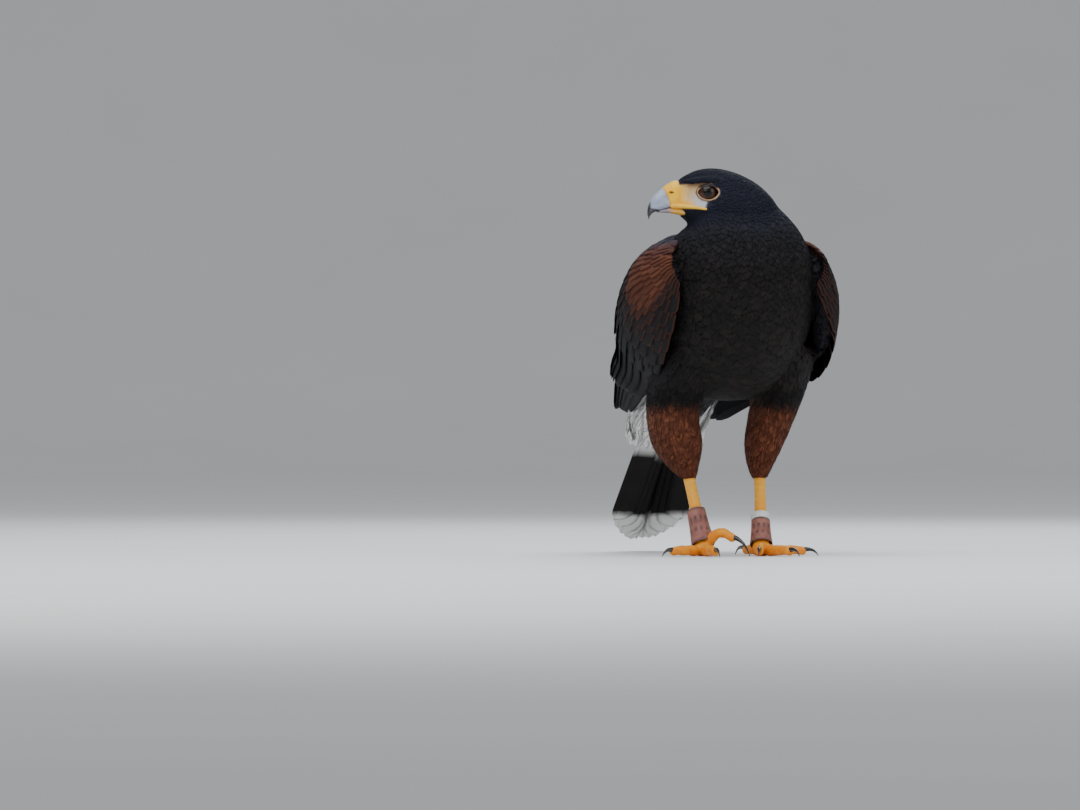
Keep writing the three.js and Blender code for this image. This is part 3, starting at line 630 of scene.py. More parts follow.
def thighPlace(leg, u, turn, grow=0.0):
    middle = curve([spot for spot, wide, deep in leg["thigh"]])(u)
    girth = curve([[wide, deep] for spot, wide, deep in leg["thigh"]])(u)
    across = (girth[..., 0] + grow) * np.cos(turn)
    deep = (girth[..., 1] + grow) * np.sin(turn)
    return middle + np.stack([across, deep, np.zeros_like(across)], -1)


# one skin under the whole coat

skinEnd = 14.0  # the station where the skin closes under the tail
coatDepth = {"head": 1.3, "neck": 2.6, "body": 3.4, "thigh": 3.2, "tailRoot": 6.5}


def bodyDepth(station):
    depth = lerp(coatDepth["neck"] * 0.7, coatDepth["body"], between(station, 1.0, 5.0))
    return lerp(depth, coatDepth["tailRoot"], between(station, 11.8, skinEnd))


def skinForms():
    def trunk(a, r):
        return bodyPlace(a * skinEnd, 2 * np.pi * r, -bodyDepth(a * skinEnd))

    def skull(a, r):
        return headPlace(hollowed(skullPlace(a, 2 * np.pi * r, -coatDepth["head"])))

    def thigh(a, r):
        return thighPlace(leg, a, 2 * np.pi * r, -coatDepth["thigh"] * (1 - 0.7 * a))

    forms = [formed("bodyForm", trunk, "body"), formed("skullForm", skull, "skull")]
    for side in sides.values():
        forms.append(formed("browForm", browPlace(side), "brow"))
    for leg in legShapes.values():
        forms.append(formed("thighForm", thigh, "thigh"))
    for side in sides.values():
        forms.append(formed("armForm", armPlace(side), "arm"))
    return forms


def hollowed(local):
    # The face sinks a little between the brow and the mouth, where the eye lies.
    x, y, z = local[..., 0], local[..., 1], local[..., 2]
    near = ((x - 8) / 21) ** 2 + ((z + 1.4) / 11) ** 2
    sunk = faceShape["sunk"] * np.clip(1 - near, 0, 1) ** 0.8
    return np.stack([x, y - np.sign(y) * np.minimum(sunk, np.abs(y) * 0.6), z], -1)


browLine = [[24, 8.0, 8.6], [15, 14.4, 9.4], [4, 17.3, 10.2], [-8, 18.2, 9.2], [-20, 18.6, 3.6]]


def browPlace(side):
    line = curve(headOnSide(browLine, side))
    tube = tubePlace(line, lambda u: 1.2 + 2.6 * np.sin(np.pi * (0.06 + u * 0.86)), [0, side, 0], 0.8)
    return lambda a, r: headPlace(tube(a, r))


def armPlace(side):
    def place(along, turn):
        s = 0.6 * along + 0.002
        depth = lerp(24, 5, smooth(along))
        under = lerp(3.4, 8.5, np.clip((s - 0.08) / 0.4, 0, 1))
        turn = turn % 1
        outer = turn < 0.5
        share = np.where(outer, turn * 2, 2 - turn * 2)
        t = 0.03 + 0.94 * share
        spot, _, out = wingFrame(side, s, t)
        rim = np.sqrt(np.maximum(0.06, 4 * t * (1 - t)))
        level = np.where(outer, under, under + depth * rim)
        return spot - out * level[:, None]
    return place


skin = grownTogether("skin", skinForms(), "skin")


def openEyes():
    # The skin turns in behind the lids, so that the eye lies in a socket.
    local = localOf(skin)
    x, z = local[:, 0] - eyeShape["middle"][0], local[:, 2] - eyeShape["middle"][2]
    long, above, below = lidShape["opening"]
    inside = np.hypot(x / (long + 0.7), z / (np.where(z > 0, above, below) + 0.9))
    outwards = np.abs(local[:, 1])
    deep = between(inside, 1.1, 0.9) * (outwards > 8) * (outwards < 30)
    local[:, 1] -= np.sign(local[:, 1]) * deep * np.maximum(0, outwards - 10)
    setPlaces(skin, headPlace(local))


openEyes()
smoothed(skin)
print("skin made:", len(skin.data.polygons), "faces")


# guides: how the coat lies, and how long, wide, close and coloured it is, over the whole skin

guideNames = ["length", "width", "spacing", "lift", "rufous", "white", "slate", "coat"]
guides = {"place": [], "lie": [], "values": []}


def byName(values):
    return {label: values[:, i] for i, label in enumerate(guideNames)}


def addGuides(place, lie, **values):
    count = place.shape[0]
    guides["place"].append(place)
    guides["lie"].append(unit(lie))
    columns = [np.broadcast_to(np.asarray(values.get(name, 0.0), float), count) for name in guideNames]
    guides["values"].append(np.stack(columns, 1))


def gridOf(rows, around, low=0.0, high=1.0):
    a, r = np.meshgrid(np.linspace(low, high, rows), np.arange(around) / around, indexing="ij")
    return a.ravel(), r.ravel()


def chestnutAt(side, s, t):
    # The chestnut patch of the wing; the left one lies higher, out of the front view.
    low, high = (0.12, 0.86) if side < 0 else (0.52, 0.98)
    onArm = between(s, 0.02, 0.05) * between(s, 0.27, 0.19)
    return onArm * between(t, low, low + 0.2) * between(t, high, high - 0.14)


def bodyGuides():
    a, r = gridOf(60, 40)
    station, turn = a * lastStation, 2 * np.pi * r
    place = bodyPlace(station, turn, -3)
    lie = bodyPlace(station + 0.05, turn, -3) - bodyPlace(station - 0.05, turn, -3)
    size = np.interp(station, [0, 2, 3.5, 5, 8, 10.5, 15], [11, 13, 17, 22, 26, 29, 30])
    belly = between(-np.sin(turn), 0.1, 0.9)
    back = between(np.sin(turn), 0.0, 0.7)
    vent = 1.5 * between(-np.sin(turn), 0.5, 0.95)
    white = between(station, 10.3 + vent, 11.0 + vent)
    # Painted sky sheen: the neck and the back take a bluish painted reflection, weaker on the belly.
    slate = np.clip(between(station, 3.6, 0.8) * 0.9 + back * between(station, 9.0, 5.0) * 0.5, 0, 1)
    width = np.interp(station, [0, 3.5, 5, 15], [0.17, 0.22, 0.25, 0.26]) + 0.05 * white
    addGuides(
        place, lie, length=size, width=size * width,
        spacing=size * (np.interp(station, [0, 2, 5, 15], [0.16, 0.175, 0.2, 0.2]) - 0.03 * white),
        lift=np.interp(station, [0, 5, 10, 15], [0.5, 0.8, 0.9, 1.0]) - 0.35 * white,
        white=white, slate=slate * (1 - belly * 0.4), coat=1.0,
    )


def headGuides():
    a, r = gridOf(50, 40)
    turn = 2 * np.pi * r
    local = skullPlace(a, turn, -1)
    lie = skullPlace(np.minimum(1, a + 0.02), turn, -1) - skullPlace(np.maximum(0, a - 0.02), turn, -1)
    forward = local[:, 0]
    size = np.interp(forward, [-60, -30, -5, 15, 30], [11, 9.4, 7.4, 4.8, 3.2])
    lie = lie + np.array([-1.5, 0, 0])
    # The head's feathers all carry the bluish painted sky sheen.
    addGuides(
        headPlace(local), lie @ headTurn.T, length=size, width=size * 0.145, spacing=size * 0.175,
        lift=np.interp(forward, [-60, 0, 30], [0.5, 0.35, 0.3]), slate=1.0, coat=1.0,
    )


def thighGuides(leg):
    a, r = gridOf(36, 30, 0.18, 1.0)
    turn = 2 * np.pi * r
    place = thighPlace(leg, a, turn, -3)
    below, above = np.minimum(1, a + 0.02), np.maximum(0, a - 0.02)
    lie = thighPlace(leg, below, turn, -3) - thighPlace(leg, above, turn, -3)
    size = np.interp(a, [0, 0.5, 0.85, 1], [20, 19, 15, 10])
    addGuides(
        place, lie, length=size, width=size * 0.2, spacing=size * 0.19, lift=1.5,
        rufous=between(place[:, 2], 144, 136), coat=1.0,
    )


def armGuides(side):
    s, t = gridOf(30, 24, 0.0, 0.6)
    place, along, out = wingFrame(side, s, t)
    size = np.interp(s, [0, 0.15, 0.6], [10, 13, 20])
    rufous = chestnutAt(side, s, t)
    downwards = np.array([0, 0, -0.5]) * between(s, 0.2, 0.0)[:, None]
    # The arm's coverts carry a little of the bluish painted sky sheen.
    addGuides(
        place - out * 4, along + downwards, length=size, width=size * 0.4, spacing=size * 0.36,
        lift=2.4, rufous=rufous, slate=0.3, coat=between(s, 0.26, 0.2),
    )


bodyGuides()
headGuides()
for leg in legShapes.values():
    thighGuides(leg)
for side in sides.values():
    armGuides(side)
guidePlaces = np.vstack(guides["place"])
guideLies = np.vstack(guides["lie"])
guideValues = np.vstack(guides["values"])
guideTree = KDTree(len(guidePlaces))
for i, place in enumerate(guidePlaces):
    guideTree.insert(place, i)
guideTree.balance()


def guided(places, near=6):
    # The lie and the values at places near the skin, mixed from the nearest guides.
    found = [guideTree.find_n(place, near) for place in places]
    index = np.array([[item[1] for item in items] for items in found])
    apart = np.array([[item[2] for item in items] for items in found])
    share = 1 / (apart + 0.5) ** 2
    share /= share.sum(1, keepdims=True)
    lie = (guideLies[index] * share[..., None]).sum(1)
    values = (guideValues[index] * share[..., None]).sum(1)
    return lie, values


skinPlaces, skinNormals = placesOf(skin), normalsOf(skin)
skinLie, skinValues = guided(skinPlaces)
skinValue = byName(skinValues)
print("guides laid:", len(guidePlaces))

skin.data.calc_loop_triangles()
triangles = readAll(skin.data.loop_triangles, "vertices", 3, int)
skinTree = BVHTree.FromPolygons([tuple(p) for p in skinPlaces], [tuple(t) for t in triangles.tolist()])
faceNormals = unit(skinNormals[triangles].mean(1))
faceLies = skinLie[triangles].mean(1)


# scattering the roots of the coat

def skinUnwrap():
    choose(skin)
    bpy.ops.object.mode_set(mode="EDIT")
    bpy.ops.mesh.select_all(action="SELECT")
    bpy.ops.uv.smart_project(angle_limit=math.radians(70), island_margin=0.001)
    bpy.ops.object.mode_set(mode="OBJECT")
    uv = readAll(skin.data.uv_layers.active.data, "uv", 2)
    return uv[readAll(skin.data.loop_triangles, "loops", 3, int)]


triangleMaps = skinUnwrap()
print("skin unwrapped")


def faceBare(place):
    # How bare the head's skin is, from 0 to 1: the lores, round the eye, and under the bill.
    local = headLocal(place)
    x, y, z = local[:, 0], np.abs(local[:, 1]), local[:, 2]
    onFace = (x > -20) & (z > -24) & (x < 45) & (y < 30)
    top = faceShape["top"] - faceShape["topSlope"] * np.maximum(0, x - 4)
    back = faceShape["back"] - (z + 14) * faceShape["backSlope"]
    mouth = faceShape["mouth"]
    lores = between(z, top + 0.7, top - 0.7) * between(z, mouth - 0.7, mouth + 0.7)
    lores = lores * between(x, back - 1.4, back + 1.0) * between(y, 4.5, 6.0)
    long, above, below = lidShape["outside"]
    eyeX, _, eyeZ = eyeShape["middle"]
    away = np.hypot((x - eyeX) / long, (z - eyeZ) / np.where(z > eyeZ, above, below))
    eyeBare = between(away, 0.92, 0.82) * (y > 6)
    return onFace * np.maximum(np.maximum(lores, eyeBare), x > faceShape["front"])


def atRoots(values, picked, weights):
    # Values of the skin's vertices, mixed at places inside the picked triangles.
    return (values[triangles[picked]] * weights[..., None]).sum(1)


def skinAreas():
    a, b, c = (skinPlaces[triangles[:, i]] for i in range(3))
    return np.linalg.norm(np.cross(b - a, c - a), axis=1) / 2


def drawRoots(count, wanted):
    # Places drawn at random over the skin: the triangle of each, and the weights of its corners.
    picked = draw.choice(len(triangles), count, p=wanted / wanted.sum())
    shares = draw.random((count, 2))
    over = shares.sum(1) > 1
    shares[over] = 1 - shares[over]
    return picked, np.column_stack([1 - shares.sum(1), shares])


# Roots are drawn this many times over, kept this share of their spacing apart, and sorted into cells.
rootDraw = {"tries": 5.0, "apart": 0.84, "cell": 6.0}


def scatterRoots(keep):
    # Roots spread over the skin, each as far from the next as the guides say.
    spacing = byName(skinValues[triangles].mean(1))["spacing"]
    wanted = skinAreas() / np.maximum(spacing, 0.5) ** 2 * keep
    picked, weights = drawRoots(int(wanted.sum() * rootDraw["tries"]), wanted)
    places = atRoots(skinPlaces, picked, weights)
    gaps = byName(atRoots(skinValues, picked, weights))["spacing"]
    cell, apart = rootDraw["cell"], rootDraw["apart"]
    cells = {}
    kept = []

    def crowded(place, key, gap):
        reach = range(-1, 2) if gap <= cell else range(-2, 3)
        for step in itertools.product(reach, reach, reach):
            for other in cells.get((key[0] + step[0], key[1] + step[1], key[2] + step[2]), ()):
                x, y, z = place[0] - other[0], place[1] - other[1], place[2] - other[2]
                if x**2 + y**2 + z**2 < (gap * apart) ** 2:
                    return True
        return False

    for i, (place, gap) in enumerate(zip(places.tolist(), gaps.tolist())):
        key = (int(place[0] // cell), int(place[1] // cell), int(place[2] // cell))
        if not crowded(place, key, gap):
            cells.setdefault(key, []).append(place)
            kept.append(i)
    kept = np.array(kept)
    return picked[kept], weights[kept], places[kept]


# vanes as solid mesh

def vaneTemplate(rows, columns):
    # Vertex grid for the upper face, then the inner vertices of the lower face; rims are shared.
    top = np.arange(rows * columns).reshape(rows, columns)
    under = top.copy()
    inner = np.arange((rows - 2) * (columns - 2)).reshape(rows - 2, columns - 2)
    under[1:-1, 1:-1] = rows * columns + inner
    quads = []
    for grid, upper in ((top, True), (under, False)):
        a, b, c, d = grid[:-1, :-1], grid[:-1, 1:], grid[1:, 1:], grid[1:, :-1]
        ring = (a, b, c, d) if upper else (a, d, c, b)
        quads.append(np.stack([part.ravel() for part in ring], 1))
    return np.vstack(quads), rows * columns + (rows - 2) * (columns - 2)


def withUnder(grid):
    # One value for each upper vertex of a vane becomes one for each vertex.
    inner = grid[:, 1:-1, 1:-1]
    return np.concatenate([grid.reshape(len(grid), -1), inner.reshape(len(grid), -1)], 1)


def vaneValues(count, **given):
    # What a vane's material reads, 0 where it isn't given.
    labels = ("rufous", "white", "slate", "tone", "fringe", "quill")
    return {label: given.get(label, np.zeros(count)) for label in labels}


flightColumns = 7


def vaneMesh(
    name, middles, normals, left, right, arch, thick, values, reach,
    columns=flightColumns, bake=None, ridge=0.0, ragged=0.0, parted=0.0,
):
    # middles and normals are feathers × rows × 3, left and right are half widths in millimetres
    count, rows = middles.shape[:2]
    ahead = unit(np.gradient(middles, axis=1))
    across = unit(np.cross(ahead, normals))
    normals = unit(np.cross(across, ahead))
    share = np.linspace(-1, 1, columns)
    width = np.where(share[None, None] < 0, left[..., None], right[..., None])
    offset = width * share
    camber = arch[:, None, None] * width * (1 - share**2) + ridge * (np.abs(share) < 0.01)
    jag = ragged * draw.normal(size=(count, rows, columns)) * np.linspace(0, 1, rows)[None, :, None] ** 3
    barbs = (np.arange(columns) % 2 == 1) * draw.uniform(0.3, 1.2, (count, columns))
    rounding = share**2 * 0.5
    jag[:, -1] -= parted * (barbs + rounding)
    jag[:, -2] -= parted * (0.25 * barbs + rounding * 0.6)
    top = middles[:, :, None] + across[:, :, None] * offset[..., None]
    top = top + normals[:, :, None] * camber[..., None]
    top = top + ahead[:, :, None] * (jag * reach[:, None, None])[..., None]
    depth = thick[:, None, None] * np.sqrt(1 - share**2 + 1e-9)
    under = (top - normals[:, :, None] * depth[..., None])[:, 1:-1, 1:-1]
    places = np.concatenate([top.reshape(count, -1, 3), under.reshape(count, -1, 3)], 1)
    quads, size = vaneTemplate(rows, columns)
    faces = (quads[None] + (np.arange(count) * size)[:, None, None]).reshape(-1, 4)
    mesh = bpy.data.meshes.new(name)
    mesh.from_pydata(inMetres(places.reshape(-1, 3)).tolist(), [], faces.tolist())
    piece = bpy.data.objects.new(name, mesh)
    bpy.context.scene.collection.objects.link(piece)

    down, side = withUnder(np.stack(np.meshgrid(np.linspace(0, 1, rows), share, indexing="ij")))
    edge = np.maximum(np.abs(side), down**3)
    for label, value in values.items():
        addValue(piece, label, np.repeat(value, size) if np.ndim(value) == 1 else value.ravel())
    addValue(piece, "edge", np.tile(edge, count))
    vaneMap = np.stack([withUnder(offset) / 10 + 5, down[None] * reach[:, None] / 10], -1).reshape(-1, 2)
    if bake is None:
        cells = math.ceil(math.sqrt(count))
        spot = np.arange(count)
        corner = np.stack([spot % cells, spot // cells], -1)[:, None] / cells
        inCell = np.stack([side * 0.44 + 0.5, down * 0.92 + 0.04], -1)[None] / cells
        baked = (corner + inCell).reshape(-1, 2)
    else:
        patch = np.stack([side, down * 2 - 1], -1)[None] * 0.0015
        baked = (bake[:, None] + patch).reshape(-1, 2)
    addMap(piece, "Vane", vaneMap)
    addMap(piece, "OFBake", baked)
    mesh.shade_smooth()
    return piece


# Rows along a feather with its width there, columns across it, and how far its barbs part at the tip.
featherForms = {
    "fine": {
        "shares": [0, 0.35, 0.7, 0.9, 1],
        "widths": [0.4, 0.9, 1, 0.6, 0.12],
        "columns": 3,
        "parted": 0.0,
    },
    "contour": {
        "shares": [0, 0.25, 0.5, 0.72, 0.88, 1],
        "widths": [0.4, 0.85, 1, 0.92, 0.66, 0.26],
        "columns": 9,
        "parted": 0.16,
    },
    "strand": {"shares": [0, 0.5, 1], "widths": [1, 0.8, 0.08], "columns": 3, "parted": 0.0},
}


# How feathers of the coat differ at random, in length, width and lift, and how deep their roots lie
coatVariety = {"length": (0.85, 1.15), "width": (0.88, 1.12), "lift": (0.8, 1.2), "spin": 0.09}
rootDepth = 0.5


def layCoat(name, form, picked, weights, slot, longer=1.0, slimmer=1.0, higher=1.0):
    shape = featherForms[form]
    shares = np.array(shape["shares"])
    value = byName(atRoots(skinValues, picked, weights))
    count = len(picked)
    length = value["length"] * longer * draw.uniform(*coatVariety["length"], count)
    spot = atRoots(skinPlaces, picked, weights)
    normal = unit(atRoots(skinNormals, picked, weights))
    lie = atRoots(skinLie, picked, weights)
    spin = draw.normal(0, coatVariety["spin"], count)
    middles, normals = [], []
    for k, share in enumerate(shares):
        if k:
            step = (length * (share - shares[k - 1]))[:, None]
            flat = unit(lie - normal * (lie * normal).sum(1, keepdims=True))
            flat = unit(flat + np.cross(normal, flat) * spin[:, None])
            away = spot + flat * step
            hits = [skinTree.find_nearest(target) for target in away.tolist()]
            spot = np.array([tuple(hit[0]) for hit in hits])
            face = np.array([hit[2] for hit in hits])
            normal = unit(lerp(faceNormals[face], normal, 0.35))
            lie = lerp(faceLies[face], lie, 0.4)
        middles.append(spot)
        normals.append(normal)
    middles, normals = np.stack(middles, 1), np.stack(normals, 1)
    lift = value["lift"] * higher * draw.uniform(*coatVariety["lift"], count)
    rise = lerp(-rootDepth, lift[:, None], shares[None] ** 0.85)
    middles = middles + normals * rise[..., None]
    width = value["width"] * slimmer * draw.uniform(*coatVariety["width"], count)
    width = width[:, None] * np.array(shape["widths"])
    coloured = vaneValues(
        count, rufous=value["rufous"], white=value["white"], slate=value["slate"],
        tone=draw.random(count), quill=np.full(count, 0.25),
    )
    root = (triangleMaps[picked] * weights[..., None]).sum(1)
    thick = np.clip(length * 0.014, 0.1, 0.22)
    arch = draw.uniform(0.03, 0.08, count)
    piece = vaneMesh(
        name, middles, normals, width, width, arch, thick, coloured, length, shape["columns"], root,
        ragged=0.025, parted=shape["parted"],
    )
    placed(piece, contourFeather, slot)


# How many strands, how much longer and slimmer than a feather they are, and how much higher they lie
looseStrands = {
    "breast": [5600, 1.0, 0.10, 1.1],
    "back": [5400, 1.0, 0.09, 1.1],
    "neck": [5000, 1.2, 0.16, 1.25],
    "thigh": [4800, 1.05, 0.15, 1.35],
    "undertail": [4200, 1.1, 0.09, 1.2],
}


def layStrands(part, keep):
    count, *changes = looseStrands[part]
    picked, weights = drawRoots(count, skinAreas() * keep)
    layCoat("strands_" + part, "strand", picked, weights, "plumage_dark", *changes)
    print("strands_" + part, count)


fineWidth = 1.9  # a feather of the head has less than this half width
thighSlimness = 0.225  # and a thigh feather's half width is less than this share of its length
thighBounds = {"aside": 10, "back": 110, "top": 172}
tailFrom = 180  # from here back the skin grows no coat, because the tail's own feathers cover it
breastBack = bodyLine(np.array(0.5))[1]  # the breast's feathers lie in front of this, the back's behind
coatLimit = 190000  # triangles in one piece of the coat
strandSizes = {"body": 15, "neckLeast": 8, "neckMost": 17}  # lengths of feathers with strands among them
neckHeight = 230  # strands of the neck lie above this


def coatOnce():
    inTail = skinPlaces[:, 1] > tailFrom
    growing = skinValue["coat"] * (faceBare(skinPlaces) < 0.5) * ~inTail
    picked, weights, places = scatterRoots(np.clip(growing[triangles].min(1), 0, 1))
    value = byName(atRoots(skinValues, picked, weights))
    fine = value["width"] < fineWidth
    slim = value["width"] < value["length"] * thighSlimness
    x, y, z = places.T
    thigh = slim & ~fine & (np.abs(x) > thighBounds["aside"])
    thigh = thigh & (y < thighBounds["back"]) & (z < thighBounds["top"])
    slots = {"head": "plumage_head", "body": "plumage_dark", "thigh": "plumage_chestnut"}
    front = y < breastBack
    groups = {
        "coat_head": (fine, "fine", "head"),
        "coat_breast": (~fine & ~thigh & front, "contour", "body"),
        "coat_back": (~fine & ~thigh & ~front, "contour", "body"),
        "coat_thigh_right": (thigh & (x < 0), "contour", "thigh"),
        "coat_thigh_left": (thigh & (x >= 0), "contour", "thigh"),
    }
    for name, (chosen, form, part) in groups.items():
        rows, columns = len(featherForms[form]["shares"]) - 1, featherForms[form]["columns"] - 1
        each = 4 * rows * columns
        index = np.nonzero(chosen)[0]
        pieces = math.ceil(len(index) * each / coatLimit)
        order = index[np.argsort(places[index, 2])]
        for k, batch in enumerate(np.array_split(order, pieces)):
            label = name if pieces == 1 else f"{name}_{k + 1}"
            layCoat(label, form, picked[batch], weights[batch], slots[part])
            print(label, len(batch), "feathers,", len(batch) * each, "triangles")

    def corner(grid):
        return grid[triangles].mean(1)

    y, z = corner(skinPlaces[:, 1]), corner(skinPlaces[:, 2])
    feathered = corner(growing) > 0.9
    white, size = corner(skinValue["white"]), corner(skinValue["length"])
    slim = corner(skinValue["width"] < skinValue["length"] * thighSlimness) > 0.5
    loose = feathered & (size > strandSizes["body"]) & (white < 0.2)
    small = (size < strandSizes["neckMost"]) & (size > strandSizes["neckLeast"])
    layStrands("breast", loose & (y < breastBack))
    layStrands("back", loose & (y >= breastBack))
    layStrands("neck", feathered & small & (z > neckHeight))
    layStrands("thigh", feathered & slim & (z < thighBounds["top"]) & (y < thighBounds["back"]))
    layStrands("undertail", feathered & (white > 0.5))


coatOnce()


# skin's own finish

def skinMaterial():
    material, tree = newMaterial("skin", Roughness=0.7, Specular_IOR_Level=featherGloss)
    values = {label: attribute(tree, label.lower()) for label in ("Rufous", "White", "Slate")}
    colour = groupIn(tree, plumageColour, Tone=0.4, **values)["Color"]
    coords = objectCoords(tree)
    pits = noise(tree, coords, 900.0)
    blotches = remap(tree, noise(tree, coords, 260.0), 0.3, 0.75)
    cream = mixed(tree, blotches, (0.52, 0.34, 0.15, 1), (0.60, 0.44, 0.26, 1))
    shaded = painted(tree, cream, {
        "ashy": (0.47, 0.46, 0.48, 1), "yellow": (0.82, 0.44, 0.030, 1), "shadow": (0.16, 0.085, 0.045, 1),
    })
    speckled = mixed(tree, remap(tree, pits, 0.62, 0.72, 0.0, 0.35), shaded, (0.25, 0.16, 0.10, 1))
    return finished(material, painted(tree, colour, {"bare": speckled}), pits, 0.0003)


def finishSkin():
    for label in ("rufous", "white", "slate"):
        addValue(skin, label, skinValue[label])
    x, _, z = headLocal(skinPlaces).T
    addValue(skin, "bare", faceBare(skinPlaces))
    byMouth = between(x, 11, 23) * between(z, -4.5, -10.5)
    byCere = between(x, 17, 28) * between(z, 8, 3)
    addValue(skin, "yellow", np.maximum(byMouth, byCere) * 0.95)
    addValue(skin, "ashy", between(x, 20, 11) * between(z, 2.0, -5.0))
    brow = between(z - np.maximum(0, 10 - x) * 0.1, 1.8, 6.4) * between(x, 25, 17) * 0.9
    addValue(skin, "shadow", np.maximum(brow, between(x, -1, -6) * 0.95))
    nodes = ["head", "neck", "torso", "thigh_left", "thigh_right"]
    placed(skin, skinMaterial(), "plumage_dark", *nodes)


finishSkin()
print("coat and skin finished")


# wings

# Tiers from the wing tip forwards: how many, the roots and tips of the first and last feather as
# [along, up], half widths, sink of the root, lift of the tip, and roll in degrees.
wingTiers = [
    {"count": 9, "root": [[0.2, 0.1], [0.26, 0.4]], "tip": [[0.93, 0.02], [0.995, 0.8]], "half": [9, 8],
     "sink": 9, "lift": -5.5, "roll": 6},
    {"count": 12, "root": [[0.27, 0.14], [0.24, 0.86]], "tip": [[0.62, 0.06], [0.8, 0.9]], "half": [11, 12],
     "sink": 6, "lift": -1.5, "roll": 8},
    {"count": 13, "root": [[0.24, 0.1], [0.24, 0.88]], "tip": [[0.42, 0.05], [0.52, 0.93]], "half": [9, 10],
     "sink": 5, "lift": 0.6, "roll": 8},
]
lesser = {
    "rows": 10, "first": [0.36, 0.43], "last": [0.05, 0.05], "reach": [0.115, 0.075],
    "perRow": 15, "half": [8.5, 6.5],
}


def lesserTiers():
    # The small rounded coverts of the arm, in rows from the greater coverts to the wing's front edge.
    tiers = []
    for k in range(lesser["rows"]):
        u = k / (lesser["rows"] - 1)
        tips = [lerp(lesser["first"][i], lesser["last"][i], u) for i in (0, 1)]
        reach = lerp(*lesser["reach"], u)
        half = lerp(*lesser["half"], u)
        stagger = 0.5 * (k % 2) / lesser["perRow"]
        low, high = 0.04 + stagger, 0.93 + stagger
        tiers.append({
            "count": lesser["perRow"] + k // 3, "root": [[tips[0] - reach, low], [tips[1] - reach, high]],
            "tip": [[tips[0], low - 0.02], [tips[1], high]], "half": [half * 0.9, half * 1.1],
            "sink": 4, "lift": lerp(1.0, 2.6, u), "roll": 6, "fringe": 0.8 * float(between(u, 0.0, 0.35)),
            # The upper rows carry the bluish painted sky sheen.
            "slate": float(between(u, 0.2, 0.6)),
        })
    return tiers


wingEdgeDrop = 2.6  # how much lower the feathers along the wing's upper edge lie, against the back


def wingFeathers(name, side):
    rows = 12
    u = 1 - (1 - np.linspace(0, 1, rows)) ** 1.4
    laid = []
    for tier in wingTiers + lesserTiers():
        count = tier["count"]
        v = np.linspace(0, 1, count)[:, None]
        (s0, t0), (s1, t1) = tier["root"]
        (e0, f0), (e1, f1) = tier["tip"]
        shake = draw.normal(0, 0.006, (count, 1))
        s = lerp(lerp(s0, s1, v), lerp(e0, e1, v) + shake, u[None])
        t = lerp(lerp(t0, t1, v), lerp(f0, f1, v), u[None])
        place, _, out = wingFrame(side, s, t)
        rise = lerp(-tier["sink"], tier["lift"], np.clip(u * 2.2, 0, 1))
        rise = rise + draw.normal(0, 0.25, (count, 1)) * u
        rise = rise - wingEdgeDrop * between(v, 0.78, 1.0)
        middles = place + out * rise[..., None]
        ahead = unit(np.gradient(middles, axis=1))
        across = unit(np.cross(out, ahead))
        roll = -side * math.radians(tier["roll"])
        turned = out * math.cos(roll) - across * math.sin(roll)
        half = lerp(tier["half"][0], tier["half"][1], v)
        tip = np.sqrt(np.clip(1 - ((u - 0.8) / 0.205) ** 2 * (u > 0.8), 0, 1))
        shape = np.maximum((0.34 + 0.66 * smooth(u / 0.4)) * tip, 0.1)
        laid.append({
            "middles": middles,
            "normals": turned,
            "left": half * shape[None] * (0.8 if side > 0 else 1),
            "right": half * shape[None] * (1 if side > 0 else 0.8),
            "reach": np.linalg.norm(np.diff(middles, axis=1), axis=2).sum(1),
            "rufous": 0.6 * chestnutAt(side, s[:, -1], t[:, -1]),
            "fringe": tier.get("fringe", 0.0) * between(v[:, 0], 0.75, 0.35),
            # A little bluish painted sky sheen on every wing feather, more on the upper coverts.
            "slate": 0.1 + 0.9 * tier.get("slate", 0.0) * between(v[:, 0], 0.55, 0.8),
        })
    bound = {label: np.concatenate([tier[label] for tier in laid]) for label in laid[0]}
    count = len(bound["reach"])
    coloured = vaneValues(
        count, rufous=bound["rufous"], slate=bound["slate"], tone=draw.random(count) * 0.7,
        fringe=bound["fringe"], quill=np.full(count, 0.6),
    )
    piece = vaneMesh(
        "wing_feathers_" + name, bound["middles"], bound["normals"], bound["left"], bound["right"],
        np.full(count, 0.1), np.full(count, 0.35), coloured, bound["reach"], ridge=0.25, ragged=0.004,
    )
    placed(piece, flightFeather, "plumage_dark", "wing_" + name)


for name, side in sides.items():
    wingFeathers(name, side)
print("wings feathered")


# tail

tailShape = {
    "root": np.array([0, 134, 175.0]), "slope": math.radians(47), "length": 222, "perSide": 6,
    "pitchRoot": 3.6, "pitchTip": 5.8, "layer": 0.98, "arch": 4, "outerWeb": 5, "innerWeb": 17,
    "step": 31, "sway": -4,
    "whiteTip": 29, "blackBand": 76, "tipRound": 15,
}


